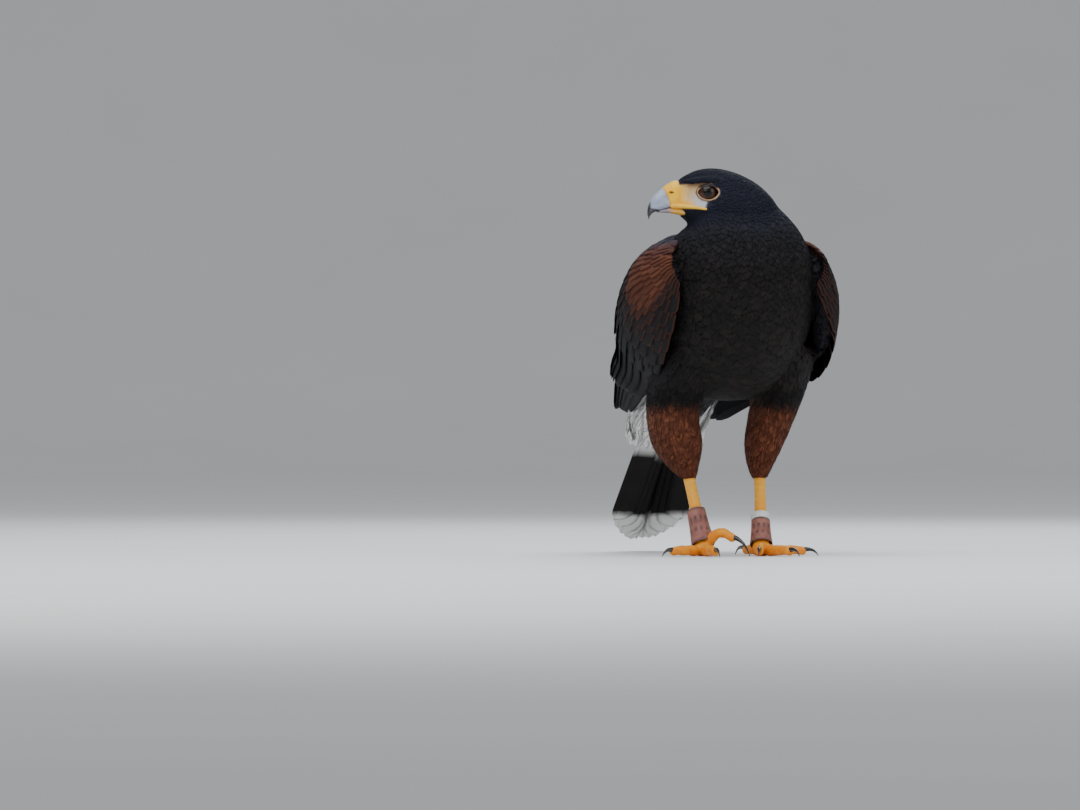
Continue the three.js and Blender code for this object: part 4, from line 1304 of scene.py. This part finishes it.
def tailFeathers():
    rows = 24
    u = 1 - (1 - np.linspace(0, 1, rows)) ** 1.6
    down = np.array([0, math.cos(tailShape["slope"]), -math.sin(tailShape["slope"])])
    up = np.array([0, math.sin(tailShape["slope"]), math.cos(tailShape["slope"])])
    middles, left, right, reach, white = [], [], [], [], []
    for side in sides.values():
        for i in range(tailShape["perSide"]):
            length = tailShape["length"] - tailShape["step"] * (i / (tailShape["perSide"] - 1)) ** 2
            x = side * (2.6 + i * lerp(tailShape["pitchRoot"], tailShape["pitchTip"], u))
            drop = (i + (0 if side > 0 else 1)) * tailShape["layer"] + tailShape["arch"] * (x / 34) ** 2
            place = tailShape["root"] + down * (length * u)[:, None] - up * (drop + 1)[:, None]
            place[:, 0] = x + tailShape["sway"] * u
            away = 1 - u
            rounding = np.clip(away * length / tailShape["tipRound"], 0, 1)
            tip = np.clip(1 - (1 - rounding) ** 2.4, 0.003, 1) ** 0.55
            crossing = 4 if side > 0 and i == 0 else -0.3
            inner = np.minimum(np.abs(x) + crossing, tailShape["innerWeb"]) * tip
            outer = tailShape["outerWeb"] * tip
            middles.append(place)
            left.append(inner if side > 0 else outer)
            right.append(outer if side > 0 else inner)
            reach.append(length)
            fromTip = away * length + 0.72 * (tailShape["length"] - length)
            soft = draw.normal(0, 1.0)
            tipWhite = between(fromTip, tailShape["whiteTip"] + 3 + soft, tailShape["whiteTip"] - 3 + soft)
            bandTop = tailShape["whiteTip"] + tailShape["blackBand"]
            baseWhite = between(fromTip, bandTop - 4, bandTop + 6)
            white.append(np.maximum(tipWhite, baseWhite))
    middles, left, right, reach, white = (np.array(part) for part in (middles, left, right, reach, white))
    count = len(reach)
    normals = np.broadcast_to(up, middles.shape)
    coloured = vaneValues(
        count, white=withUnder(np.repeat(white[:, :, None], flightColumns, 2)),
        tone=draw.random(count) * 0.6 + 0.2, quill=np.full(count, 0.8),
    )
    piece = vaneMesh(
        "tail_feathers", middles, normals, left, right, np.full(count, 0.04), np.full(count, 0.3),
        coloured, reach, ridge=0.3, ragged=0.003,
    )
    placed(piece, flightFeather, "tail_feathers", "tail")


tailFeathers()
print("tail feathered")


# eyes and lids

def eyePlace(side):
    middle = headOnSide(eyeShape["middle"], side)
    look = unit(headOnSide(eyeShape["look"], side))
    across = unit(np.cross([0, 0, 1.0], look))
    upward = np.cross(look, across)

    def place(along, turn):
        tilt = np.pi * along
        bulge = np.exp(-((tilt / eyeShape["corneaSpread"]) ** 2))
        reach = eyeShape["radius"] + eyeShape["cornea"] * bulge
        ring = across * np.cos(2 * np.pi * turn)[:, None] + upward * np.sin(2 * np.pi * turn)[:, None]
        out = look * (reach * np.cos(tilt))[:, None] + ring * (reach * np.sin(tilt))[:, None]
        return headPlace(middle + out)

    return place


def eyeMaterial():
    material, tree = newMaterial(
        "wetEye", Roughness=0.2, Coat_Weight=0.4, Coat_Roughness=0.03, Specular_IOR_Level=0.08,
    )
    tilt = attribute(tree, "tilt")
    spokes = noise(tree, node(tree, "UVMap", uv_map="Iris"), 9.0, 4.0, 0.7)
    iris = mixed(tree, remap(tree, spokes, 0.3, 0.75), (0.022, 0.008, 0.004, 1), (0.095, 0.034, 0.012, 1))
    iris = painted(tree, iris, {"shade": (0.008, 0.004, 0.003, 1)})
    rim = remap(tree, tilt, eyeShape["iris"] - 0.16, eyeShape["iris"], 0.0, 1.0)
    inner = remap(tree, tilt, eyeShape["pupil"], eyeShape["pupil"] + 0.2, 1.0, 0.0)
    brown = mixed(tree, inner, iris, (0.030, 0.012, 0.006, 1))
    pupil = remap(tree, tilt, eyeShape["pupil"] - 0.02, eyeShape["pupil"] + 0.02, 1.0, 0.0)
    dark = mixed(tree, pupil, mixed(tree, rim, brown, (0.012, 0.007, 0.005, 1)), (0.001, 0.001, 0.001, 1))
    return finished(material, dark)


def eyes():
    material = eyeMaterial()
    for name, side in sides.items():
        eye = formed("eye_" + name + "_wet", eyePlace(side), "eye")
        spots = localOf(eye) - headOnSide(eyeShape["middle"], side)
        tilt = np.arccos(np.clip(unit(spots) @ unit(headOnSide(eyeShape["look"], side)), -1, 1))
        addValue(eye, "tilt", tilt)
        addValue(eye, "shade", between(spots[:, 2], -1.5, 4.5))
        around = np.arctan2(spots[:, 2], spots[:, 0])
        spread = 2 + tilt * 0.25
        addMap(eye, "Iris", np.stack([np.cos(around) * spread, np.sin(around) * spread], -1))
        placed(eye, material, "eye_wet", "eye_" + name)


def onSkin(local, side):
    # The place on the skin straight out to one side of a place in the head.
    start = headPlace(headOnSide([local[0], 60, local[2]], side))
    way = headPlace([0, -side, 0]) - headPlace([0, 0, 0])
    hit = skinTree.ray_cast(Vector(start), Vector(way))
    return headLocal(np.array(hit[0]))


def lidPlace(side):
    x0, y0, z0 = eyeShape["middle"]

    def rim(shape, angle):
        long, above, below = shape
        tall = np.where(np.sin(angle) > 0, above, below)
        corner = 1 + 0.08 * np.abs(np.cos(angle)) ** 6
        return x0 + long * corner * np.cos(angle), z0 + tall * np.sin(angle)

    cells = formCells["lid"][0]
    angles = 2 * np.pi * np.arange(cells) / cells
    ix, iz = rim(lidShape["opening"], angles)
    level = np.sqrt(np.maximum(0.5, (eyeShape["radius"] + 0.1) ** 2 - (ix - x0) ** 2 - (iz - z0) ** 2))
    inner = np.stack([ix, side * (y0 + level + 0.1), iz], -1)
    ox, oz = rim(lidShape["outside"], angles)
    outer = np.array([onSkin([x, 0, z], side) for x, z in zip(ox, oz)])
    outer[:, 1] -= side * 0.5
    inner[:, 1] = side * np.maximum(np.abs(inner[:, 1]), np.abs(outer[:, 1]) - 0.8)

    def place(along, turn):
        k = np.rint(along * cells).astype(int) % cells
        middle, half = (inner[k] + outer[k]) / 2, (outer[k] - inner[k]) / 2
        angle = 2 * np.pi * turn
        thick = lidShape["thick"] * (1 - 0.25 * np.cos(angle))
        outwards = np.array([0, side, 0]) * (thick * np.sin(angle))[:, None]
        return headPlace(middle + half * np.cos(angle)[:, None] + outwards)

    return place


def lidMaterial():
    material, tree = newMaterial("lidSkin", Roughness=0.5)
    wrinkles = noise(tree, objectCoords(tree), 700.0, 3.0)
    tan = mixed(tree, remap(tree, wrinkles, 0.3, 0.7), (0.34, 0.18, 0.090, 1), (0.54, 0.36, 0.22, 1))
    # Dark is laid over the tan: painted shade under the brow, and the darker outer edge.
    return finished(material, painted(tree, tan, {"dark": (0.030, 0.022, 0.020, 1)}), wrinkles, 0.0003, 0.6)


def lids():
    material = lidMaterial()
    for name, side in sides.items():
        lid = formed("lid_" + name, lidPlace(side), "lid", shut=False)
        local = localOf(lid)
        eyeX, _, eyeZ = eyeShape["middle"]
        away = np.hypot(local[:, 0] - eyeX, (local[:, 2] - eyeZ) * 1.25)
        # Painted shade: the lid is painted dark along its top, where the brow shades it, and darker at its
        # outer edge, where it meets the feathers.
        brow = between(local[:, 2] - eyeZ, 1.8, 4.8)
        addValue(lid, "dark", np.maximum(brow, between(away, 8.8, 10.2) * 0.8))
        placed(lid, material, "skin_yellow")


eyes()
lids()
print("eyes made")


# bill and cere, in the head's own frame

# Each section is its top [forwards, up], its bottom and its half width.
billShape = {
    "upper": [
        [[40.4, 3.5], [33.1, -13.6], 7.6],
        [[45.2, -0.3], [39, -14.9], 6.6],
        [[49, -4.5], [44, -16.2], 5.4],
        [[51.7, -9], [47.2, -17.2], 4],
        [[53.3, -14], [49.8, -18.8], 2.7],
        [[53.6, -19], [51.6, -21.2], 1.5],
        [[52.6, -23.2], [52, -23.6], 0.4],
    ],
    "cere": [
        [[24.6, 9.6], [19, -14.0], 7.6],
        [[31.0, 9.7], [25, -14.6], 9.5],
        [[36, 7.0], [29.6, -14.2], 9.2],
        [[40.4, 3.9], [33.0, -13.5], 8.0],
    ],
    "lower": [
        [[14, -14], [14, -20], 6.5],
        [[20, -13.4], [20, -21.0], 8.8],
        [[27, -13], [27, -19.8], 8.2],
        [[34, -13.4], [35, -18.4], 6.6],
        [[40, -14.6], [41, -18], 4.9],
        [[45, -15.9], [45.6, -17.6], 2.4],
    ],
    "flange": [[32, 6.4, -12.0], [23, 10.2, -12.4], [13, 14.9, -13.6], [5.2, 18.2, -15]],
    "nostril": [33.8, 9.3, -0.6],
}


def sectionPlace(sections, power=0.8, middleAt=0.56):
    tops = curve([[top[0], half, top[1]] for top, bottom, half in sections])
    bottoms = curve([[bottom[0], 0, bottom[1]] for top, bottom, half in sections])

    def place(along, turn):
        high, low = tops(along), bottoms(along)
        half = high[:, 1].copy()
        high[:, 1] = 0
        middle = lerp(high, low, middleAt)
        lift = np.sin(2 * np.pi * turn)
        across = half * powered(np.cos(2 * np.pi * turn), power)
        reach = np.where((lift > 0)[:, None], high - middle, low - middle)
        reach = reach * (np.abs(lift) ** power)[:, None]
        return headPlace(middle + reach + np.array([0, 1.0, 0]) * across[:, None])

    return place


def yellowMaterial(name, deep, light, rough):
    # Bare yellow skin with fine pores, on which pale and dark places are painted.
    material, tree = newMaterial(
        name, Roughness=rough, Specular_IOR_Level=0.3, Subsurface_Weight=0.06,
        Subsurface_Radius=(0.004, 0.002, 0.001), Subsurface_Scale=0.5,
    )
    coords = objectCoords(tree)
    blotches, pores = noise(tree, coords, 130.0), noise(tree, coords, 1100.0)
    yellow = mixed(tree, remap(tree, blotches, 0.3, 0.72), deep, light)
    marked = painted(tree, yellow, {"pale": (0.88, 0.52, 0.07, 1), "dark": (0.14, 0.055, 0.015, 1)})
    return finished(material, marked, pores)


def cerePiece():
    forms = [formed("cereForm", sectionPlace(billShape["cere"]), "cere")]
    for side in sides.values():
        line = curve([headOnSide(p, side) for p in billShape["flange"]])
        tube = tubePlace(line, lambda u: lerp(3.1, 1.3, u), [0, side, 0], 0.8)
        forms.append(formed("flangeForm", lambda a, r, tube=tube: headPlace(tube(a, r)), "flange"))
    cere = grownTogether("cere_skin", forms, "cere")
    local = localOf(cere)
    x, y, z = local.T
    nx, _, nz = billShape["nostril"]
    away = np.hypot((x - nx + (z - nz) * 0.6) / 2.0, (z - nz - (x - nx) * 0.25) / 1.0)
    depth = np.exp(-(away**2.4)) * (np.abs(y) > 3)
    swell = 0.5 * np.exp(-(((away - 1.7) / 0.7) ** 2)) * (np.abs(y) > 3)
    local[:, 1] -= np.sign(y) * (1.8 * depth - swell)
    setPlaces(cere, headPlace(local))
    smoothed(cere)
    # The nostril's pit is painted dark as deep as it is dented: painted shade for the opening's depth.
    addValue(cere, "dark", np.clip(depth * 1.1, 0, 0.85))
    flange = between(z, -10.2, -11.8)
    edge = between(x - (z + 14) * 0.42, 33.0, 36.0) * between(z, 1.0, -6.0)
    addValue(cere, "pale", np.clip(flange * 0.4 + edge * 0.8, 0, 1))
    cereYellow = yellowMaterial("cereSkin", (0.82, 0.38, 0.006, 1), (0.90, 0.54, 0.025, 1), 0.45)
    placed(cere, cereYellow, "skin_yellow", "cere")


def hornMaterial(name, pale, tint):
    # Horn with fine growth lines, painted yellow where it is warm and black where it is dark.
    material, tree = newMaterial(name, Roughness=0.32, Coat_Weight=0.25, Coat_Roughness=0.2)
    lines = noise(tree, node(tree, "UVMap", uv_map="Growth"), 3.0, 4.0, 0.6)
    clouds = noise(tree, objectCoords(tree), 180.0)
    horn = mixed(tree, remap(tree, clouds, 0.3, 0.75), pale, tint)
    marked = painted(tree, horn, {"warm": (0.72, 0.38, 0.05, 1), "dark": (0.016, 0.015, 0.017, 1)})
    return finished(material, marked, lines, 0.0003)


def billPieces():
    horn = hornMaterial("billHorn", (0.38, 0.42, 0.53, 1), (0.24, 0.27, 0.36, 1))
    lowerHorn = hornMaterial("lowerBillHorn", (0.30, 0.22, 0.26, 1), (0.20, 0.16, 0.20, 1))
    for name, material in (("upper", horn), ("lower", lowerHorn)):
        bill = formed("bill_" + name + "_horn", sectionPlace(billShape[name]), "bill")
        x, y, z = localOf(bill).T
        if name == "upper":
            tip = between(x - (z + 12) * 0.1, 49.6, 52.6) * between(z, -4.0, -9.0)
            edge = between(-z - 0.25 * (46 - x), 14.2, 15.6) * between(x, 41.0, 45.0)
            dark, warm = np.maximum(tip, edge * 0.9), 0.35 * between(x, 37.5, 34.5)
        else:
            dark = between(x, 42.5, 45.0) * 0.8
            warm = between(x, 37.0, 31.0)
        addValue(bill, "dark", dark)
        addValue(bill, "warm", warm)
        addMap(bill, "Growth", np.stack([x * 2.2, np.abs(y) * 0.35 + z * 0.3], -1))
        placed(bill, material, "horn_grey", "bill_" + name)


cerePiece()
billPieces()
print("bill made")


# legs, feet and claws

legSkin = {
    "shankTop": 5.5, "shankMiddle": 4.8, "shankBottom": 5.3, "scutes": 17, "raise": 0.5,
    "toeRoot": 4.7, "toeTip": 3.5, "pad": 0.9, "padHeight": 4.2, "toeScutePitch": 2.6,
}
toeKinds = {  # name: turn outwards in degrees, length, claw length, knuckle height, end height
    "right": {
        "inner": [-40, 30, 21, 16, 12], "middle": [4, 47, 19, 0.8, 0.4],
        "outer": [62, 36, 16, 0.8, 0.4], "hind": [192, 28, 25, 1, 0.4],
    },
    "left": {
        "inner": [-20, 31, 21, 3, 0.4], "middle": [14, 47, 19, 0.8, 0.4],
        "outer": [66, 36, 16, 0.8, 0.4], "hind": [190, 28, 25, 1, 0.4],
    },
}


onFloor = 0.02  # how near the floor the feet and the claws come


def shankLine(leg):
    hock, foot = np.array(leg["hock"], float), np.array(leg["foot"], float)
    return curve([hock + [0, 3, 6], hock, (hock + foot) / 2, foot])


def shankPlace(leg):
    def radius(u):
        upper = lerp(legSkin["shankTop"], legSkin["shankMiddle"], np.clip(u * 2, 0, 1))
        return lerp(upper, legSkin["shankBottom"], np.clip(u * 2 - 1, 0, 1))

    def bump(u, angle):
        saw = (u * legSkin["scutes"] + 0.12 * np.cos(angle * 2)) % 1
        plate = saw**0.7 * between(saw, 1.0, 0.86)
        front = np.clip(-np.sin(angle) * 1.6 + 0.25, 0, 1)
        rear = np.clip(np.sin(angle) * 1.6 - 0.2, 0, 1)
        small = np.abs(np.sin(u * 95)) * np.abs(np.sin(angle * 6)) * 0.3
        return legSkin["raise"] * (plate * front + small * rear)

    return tubePlace(shankLine(leg), radius, [1, 0, 0], 1.0, bump, 0.02)


def toeHeading(side, turn):
    turn = math.radians(turn)
    return np.array([side * math.sin(turn), -math.cos(turn), 0.0])


def atHeight(place, height):
    return np.array([place[0], place[1], height])


def toeLine(leg, kind):
    turn, length, _, knuckle, end = kind
    ahead, low = toeHeading(leg["side"], turn), legSkin["padHeight"]
    reaches = [2, length * 0.3, length * 0.62, length]
    heights = [2.2, knuckle * 0.7, knuckle, end]
    return curve([atHeight(leg["foot"] + ahead * r, low + h) for r, h in zip(reaches, heights)])


def toeRadius(u):
    knuckles = 0.35 * np.cos(2 * np.pi * (u * 3 - 0.1)) * between(u, 0.05, 0.2)
    return lerp(legSkin["toeRoot"], legSkin["toeTip"], u) + knuckles


def toePads(u, angle):
    return legSkin["pad"] * np.maximum(0, -np.sin(angle)) * np.sin(np.pi * ((u * 2.99) % 1))


def footPiece(name, leg):
    # The toes and the pad grown into one skin, with plates on top and pads beneath.
    lines, forms = {}, []
    for label, kind in toeKinds[name].items():
        lines[label] = toeLine(leg, kind)
        side = np.cross([0, 0, 1.0], toeHeading(leg["side"], kind[0]))
        forms.append(formed("toeForm", tubePlace(lines[label], toeRadius, side, 1.0, toePads, 0.08), "toe"))

    def ball(a, r):
        around, rim = 2 * np.pi * r, 8 * np.sin(np.pi * a)
        shell = np.stack([rim * np.cos(around), 1.075 * rim * np.sin(around), 8 * np.cos(np.pi * a)], -1)
        return atHeight(leg["foot"], 7.2) - [0, 1, 0] + shell

    forms.append(formed("padForm", ball, "pad"))
    footMiddle, hock = np.array(leg["foot"], float), np.array(leg["hock"], float)
    ankle = curve([footMiddle - [0, 0, 3], lerp(footMiddle, hock, 0.15)])
    ankleTube = tubePlace(ankle, lambda u: lerp(7.6, 5.6, u), [1, 0, 0])
    forms.append(formed("ankleForm", ankleTube, "ankle"))
    foot = grownTogether("foot_" + name + "_skin", forms, "foot")
    places, normals = placesOf(foot), normalsOf(foot)
    nearest, height = np.full(len(places), 1e9), np.zeros(len(places))
    for label, line in lines.items():
        u = np.linspace(0, 1, 80)
        spots = line(u)
        run = np.concatenate([[0], np.cumsum(np.linalg.norm(np.diff(spots, axis=0), axis=1))])
        apart = np.linalg.norm(places[:, None] - spots[None], axis=2)
        k = apart.argmin(1)
        closer = apart.min(1) < nearest
        along = run[k] + (places - spots[k]) @ heading(line, np.array(0.5))
        saw = (along / legSkin["toeScutePitch"]) % 1
        plate = saw**0.7 * between(saw, 1.0, 0.84)
        height = np.where(closer, plate, height)
        nearest = np.minimum(nearest, apart.min(1))
    onTop = between(normals[:, 2], 0.15, 0.6)
    places = places + normals * (0.6 * (height - 0.5) * onTop)[:, None]
    places[:, 2] = np.maximum(places[:, 2], onFloor)
    setPlaces(foot, places)
    smoothed(foot)
    addValue(foot, "dark", 0.6 * onTop * between(height, 0.14, 0.0))
    addValue(foot, "pale", 0.25 * onTop * height)
    toes = [f"toe_{label}_{name}" for label in toeKinds[name]]
    placed(foot, legYellow, "skin_yellow", "foot_" + name, *toes)


def clawRadius(u):
    return lerp(2.8, 0.3, np.asarray(u) ** 0.8)


def clawPiece(name, leg):
    claws = []
    for label, kind in toeKinds[name].items():
        turn, _, claw, _, end = kind
        ahead, toe = toeHeading(leg["side"], turn), toeLine(leg, kind)
        start = toe(np.array(1.0))
        first = start - heading(toe, np.array(1.0)) * 2.5
        middle = atHeight(start + ahead * claw * 0.6, start[2] + claw * 0.26 - end * 0.45)
        last = atHeight(start + ahead * claw * 0.86, 0.5)

        def line(u):
            u = np.asarray(u, float)[..., None]
            return first * (1 - u) ** 2 + middle * 2 * u * (1 - u) + last * u**2

        side = np.cross([0, 0, 1.0], ahead)
        claws.append(formed("clawForm", tubePlace(line, clawRadius, side, 1.08, None, 0.03), "claw"))
    piece = joinedAs("claws_" + name, claws)
    places = placesOf(piece)
    places[:, 2] = np.maximum(places[:, 2], onFloor)
    setPlaces(piece, places)
    placed(piece, clawHorn, "claw_black", *[f"claw_{label}_{name}" for label in toeKinds[name]])


def clawMaterial():
    material, tree = newMaterial("clawHorn", Roughness=0.24, Coat_Weight=0.4, Coat_Roughness=0.15)
    streaks = noise(tree, objectCoords(tree), 420.0, 4.0)
    black = mixed(tree, remap(tree, streaks, 0.4, 0.8), (0.006, 0.006, 0.007, 1), (0.028, 0.024, 0.022, 1))
    return finished(material, black, streaks, 0.0002, 0.4)


legYellow = yellowMaterial("legYellow", (0.78, 0.21, 0.004, 1), (0.86, 0.33, 0.010, 1), 0.5)
clawHorn = clawMaterial()
for name, leg in legShapes.items():
    shank = formed("shank_" + name + "_skin", shankPlace(leg), "shank")
    height = placesOf(shank)[:, 2]
    addValue(shank, "dark", np.zeros(len(height)))
    addValue(shank, "pale", 0.55 * between(height, 20, 60))
    placed(shank, legYellow, "skin_yellow", "shank_" + name)
    footPiece(name, leg)
    clawPiece(name, leg)
print("legs and feet made")


# anklets and the leg ring

bandShapes = {  # shares of the way up the shank, inner radius, wall and flare
    "anklet_right": {"leg": "right", "bottom": -0.02, "top": 0.5, "inside": 6.8, "wall": 1.5, "flare": 2.4},
    "anklet_left": {"leg": "left", "bottom": -0.02, "top": 0.335, "inside": 6.8, "wall": 1.5, "flare": 2},
    "leg_ring_left": {"leg": "left", "bottom": 0.34, "top": 0.435, "inside": 6.9, "wall": 1.6, "flare": 0},
}
tabLength = 12
# Each row of dashes: how far up the strap it is, where it starts round it, and its half height
dashRows = [(0.70, 0.0, 0.065), (0.36, 1.7, 0.05)]


def shankAxes(leg):
    foot, hock = np.array(leg["foot"], float), np.array(leg["hock"], float)
    upward = unit(hock - foot)
    across = unit(np.cross([0, 1.0, 0], upward))
    return foot, np.linalg.norm(hock - foot), upward, across, np.cross(upward, across)


def bandPlace(shape):
    foot, span, upward, across, ahead = shankAxes(legShapes[shape["leg"]])

    def place(along, turn):
        # along runs up the outside, over the rim and down the inside
        angle = 2 * np.pi * along
        level = 0.5 - 0.5 * powered(np.cos(angle), 0.45)
        out = 0.5 + 0.5 * powered(np.sin(angle), 0.45)
        swing = 2 * np.pi * turn
        crumple = 0.25 * np.sin(swing * 3 + 1) * np.sin(level * 5) if shape["flare"] else 0
        reach = shape["inside"] + shape["flare"] * (1 - level) ** 2 + shape["wall"] * out + crumple
        height = lerp(shape["bottom"], shape["top"], level) * span
        ring = across * (reach * np.cos(swing))[:, None] + ahead * (reach * np.sin(swing))[:, None]
        return foot + upward * height[:, None] + ring

    return place


def tabPlace(shape):
    leg = legShapes[shape["leg"]]
    foot, span, upward = shankAxes(leg)[:3]
    behind = unit(np.cross(upward, [1.0, 0, 0]))
    height = (shape["top"] - shape["bottom"]) * span * 0.36
    start = foot + upward * span * (shape["bottom"] + shape["top"]) / 2
    start = start + behind * (shape["inside"] + shape["wall"] * 0.4)

    def place(along, turn):
        swing = 2 * np.pi * turn
        rounding = np.sqrt(np.clip(1 - ((along - 0.86) / 0.15) ** 2 * (along > 0.86), 0, 1))
        half = height * lerp(1, 0.8, along) * (0.35 + 0.65 * rounding)
        spot = start + behind * (tabLength * along)[:, None]
        spot = spot + upward * (half * powered(np.sin(swing), 0.6))[:, None]
        sideways = leg["side"] * 1.6 * along + 1.25 * powered(np.cos(swing), 0.6) * (0.5 + 0.5 * rounding)
        return spot + np.array([1.0, 0, 0]) * sideways[:, None]

    return place


def leatherMaterial():
    # Worn brown-pink leather, with two rows of short dark dashes painted round it.
    material, tree = newMaterial("ankletLeather", Roughness=0.62)
    coords = objectCoords(tree)
    grain, wear = noise(tree, coords, 900.0, 4.0, 0.6), noise(tree, coords, 110.0)
    hide = mixed(tree, remap(tree, wear, 0.3, 0.75), (0.20, 0.070, 0.052, 1), (0.34, 0.140, 0.105, 1))
    salmon = painted(tree, hide, {"rim": (0.10, 0.05, 0.045, 1), "tab": (0.62, 0.23, 0.16, 1)})
    dashed = math2(tree, "MULTIPLY", attribute(tree, "dash"), 0.85)
    return finished(material, mixed(tree, dashed, salmon, (0.06, 0.030, 0.034, 1)), grain, 0.0004, 0.7)


def ringMaterial():
    material, tree = newMaterial("ringWhite", Roughness=0.38)
    scuffs = noise(tree, objectCoords(tree), 500.0, 4.0, 0.7)
    worn = mixed(tree, remap(tree, scuffs, 0.35, 0.8), (0.66, 0.71, 0.65, 1), (0.44, 0.48, 0.44, 1))
    return finished(material, worn, scuffs, 0.0002, 0.4)


def bands():
    leather, plastic = leatherMaterial(), ringMaterial()
    for name, shape in bandShapes.items():
        band = formed(name + "_band", bandPlace(shape), "band", shut=False)
        foot, span, upward, across, ahead = shankAxes(legShapes[shape["leg"]])
        if name == "leg_ring_left":
            placed(band, plastic, "ring_white", name)
            continue
        tab = formed("tabForm", tabPlace(shape), "tab")
        count = len(band.data.vertices)
        strap = joinedAs(name + "_strap", [band, tab])
        local = placesOf(strap) - foot
        level = (local @ upward / span - shape["bottom"]) / (shape["top"] - shape["bottom"])
        swing = np.arctan2(local @ ahead, local @ across)
        onTab = np.arange(len(local)) >= count
        rows = np.zeros(len(local))
        for at, phase, tall in dashRows:
            row = between(np.abs(level - at), tall * 1.15, tall * 0.75)
            gaps = np.sin(swing * 11 + phase) + 0.35 * np.sin(swing * 5)
            rows = np.maximum(rows, row * between(gaps, 0.1, 0.4))
        addValue(strap, "dash", rows * ~onTab)
        rim = np.maximum(between(level, 0.9, 0.97), between(level, 0.1, 0.02))
        addValue(strap, "rim", rim * ~onTab * 0.8)
        addValue(strap, "tab", onTab * 0.9)
        placed(strap, leather, "hide", name)


bands()
print("anklets and ring made")


# studio and camera

studioFloor = {"size": 36, "cells": 120, "flat": 10.0, "rise": 6.0, "height": 4.0}


def studio():
    floor = newGrid("floor", studioFloor["cells"], studioFloor["cells"], studioFloor["size"])
    co = coordsOf(floor)
    away = np.hypot(co[:, 0], co[:, 1])
    co[:, 2] = studioFloor["height"] * smooth((away - studioFloor["flat"]) / studioFloor["rise"])
    setCoords(floor, co)
    material, tree = newMaterial("paleFloor", Roughness=0.9)
    grain = noise(tree, objectCoords(tree), 3.0)
    pale = mixed(tree, grain, (0.74, 0.74, 0.73, 1), (0.80, 0.80, 0.79, 1))
    dress(floor, finished(material, pale))
    smoothed(floor)


# Each light's place, aside and ahead of the bird and above the floor, then its size, power and colour.
studioLights = {
    "skyLight": [(-0.4, -0.6, 2.4), 2.4, 62, (0.86, 0.92, 1.0)],
    "keyLight": [(-1.7, -1.9, 1.7), 1.8, 24, (1.0, 0.97, 0.93)],
    "fillLight": [(1.8, -1.8, 1.0), 1.6, 16, (1.0, 0.99, 0.97)],
    "rimLight": [(0.8, 1.6, 1.6), 1.2, 20, (0.88, 0.93, 1.0)],
}


def softLight(name, place, size, power, colour, target):
    place = Vector((target.x + place[0], target.y + place[1], place[2]))
    light = bpy.data.lights.new(name, "AREA")
    light.size = size
    light.energy = power
    light.color = colour
    lamp = bpy.data.objects.new(name, light)
    bpy.context.scene.collection.objects.link(lamp)
    lamp.location = place
    lamp.rotation_euler = (target - place).to_track_quat("-Z", "Y").to_euler()


studioAir = {"Color": (0.85, 0.88, 0.92, 1), "Strength": 0.55}

# The camera is level with the middle of the frame; wide is what it sees across at the bird, in metres.
photoView = {"aside": -16, "aim": [-164.8, 47.2, 131.4], "away": 8.0, "wide": 0.9396}


def lightsAndCamera():
    middle = Vector(inMetres(np.array([0, 20, 190.0])))
    for name, light in studioLights.items():
        softLight(name, *light, middle)
    world = bpy.data.worlds.new("studioAir")
    bpy.context.scene.world = world
    world.use_nodes = True
    for label, value in studioAir.items():
        world.node_tree.nodes["Background"].inputs[label].default_value = value
    aside = math.radians(photoView["aside"])
    aim = Vector(inMetres(np.array(photoView["aim"])))
    way = Vector((math.sin(aside), -math.cos(aside), 0))
    camera = bpy.data.objects.new("camera", bpy.data.cameras.new("camera"))
    bpy.context.scene.collection.objects.link(camera)
    camera.data.sensor_width = 36
    camera.data.lens = camera.data.sensor_width * photoView["away"] / photoView["wide"]
    camera.location = aim + way * photoView["away"]
    camera.rotation_euler = (-way).to_track_quat("-Z", "Y").to_euler()
    bpy.context.scene.camera = camera


studio()
lightsAndCamera()
print("studio ready")
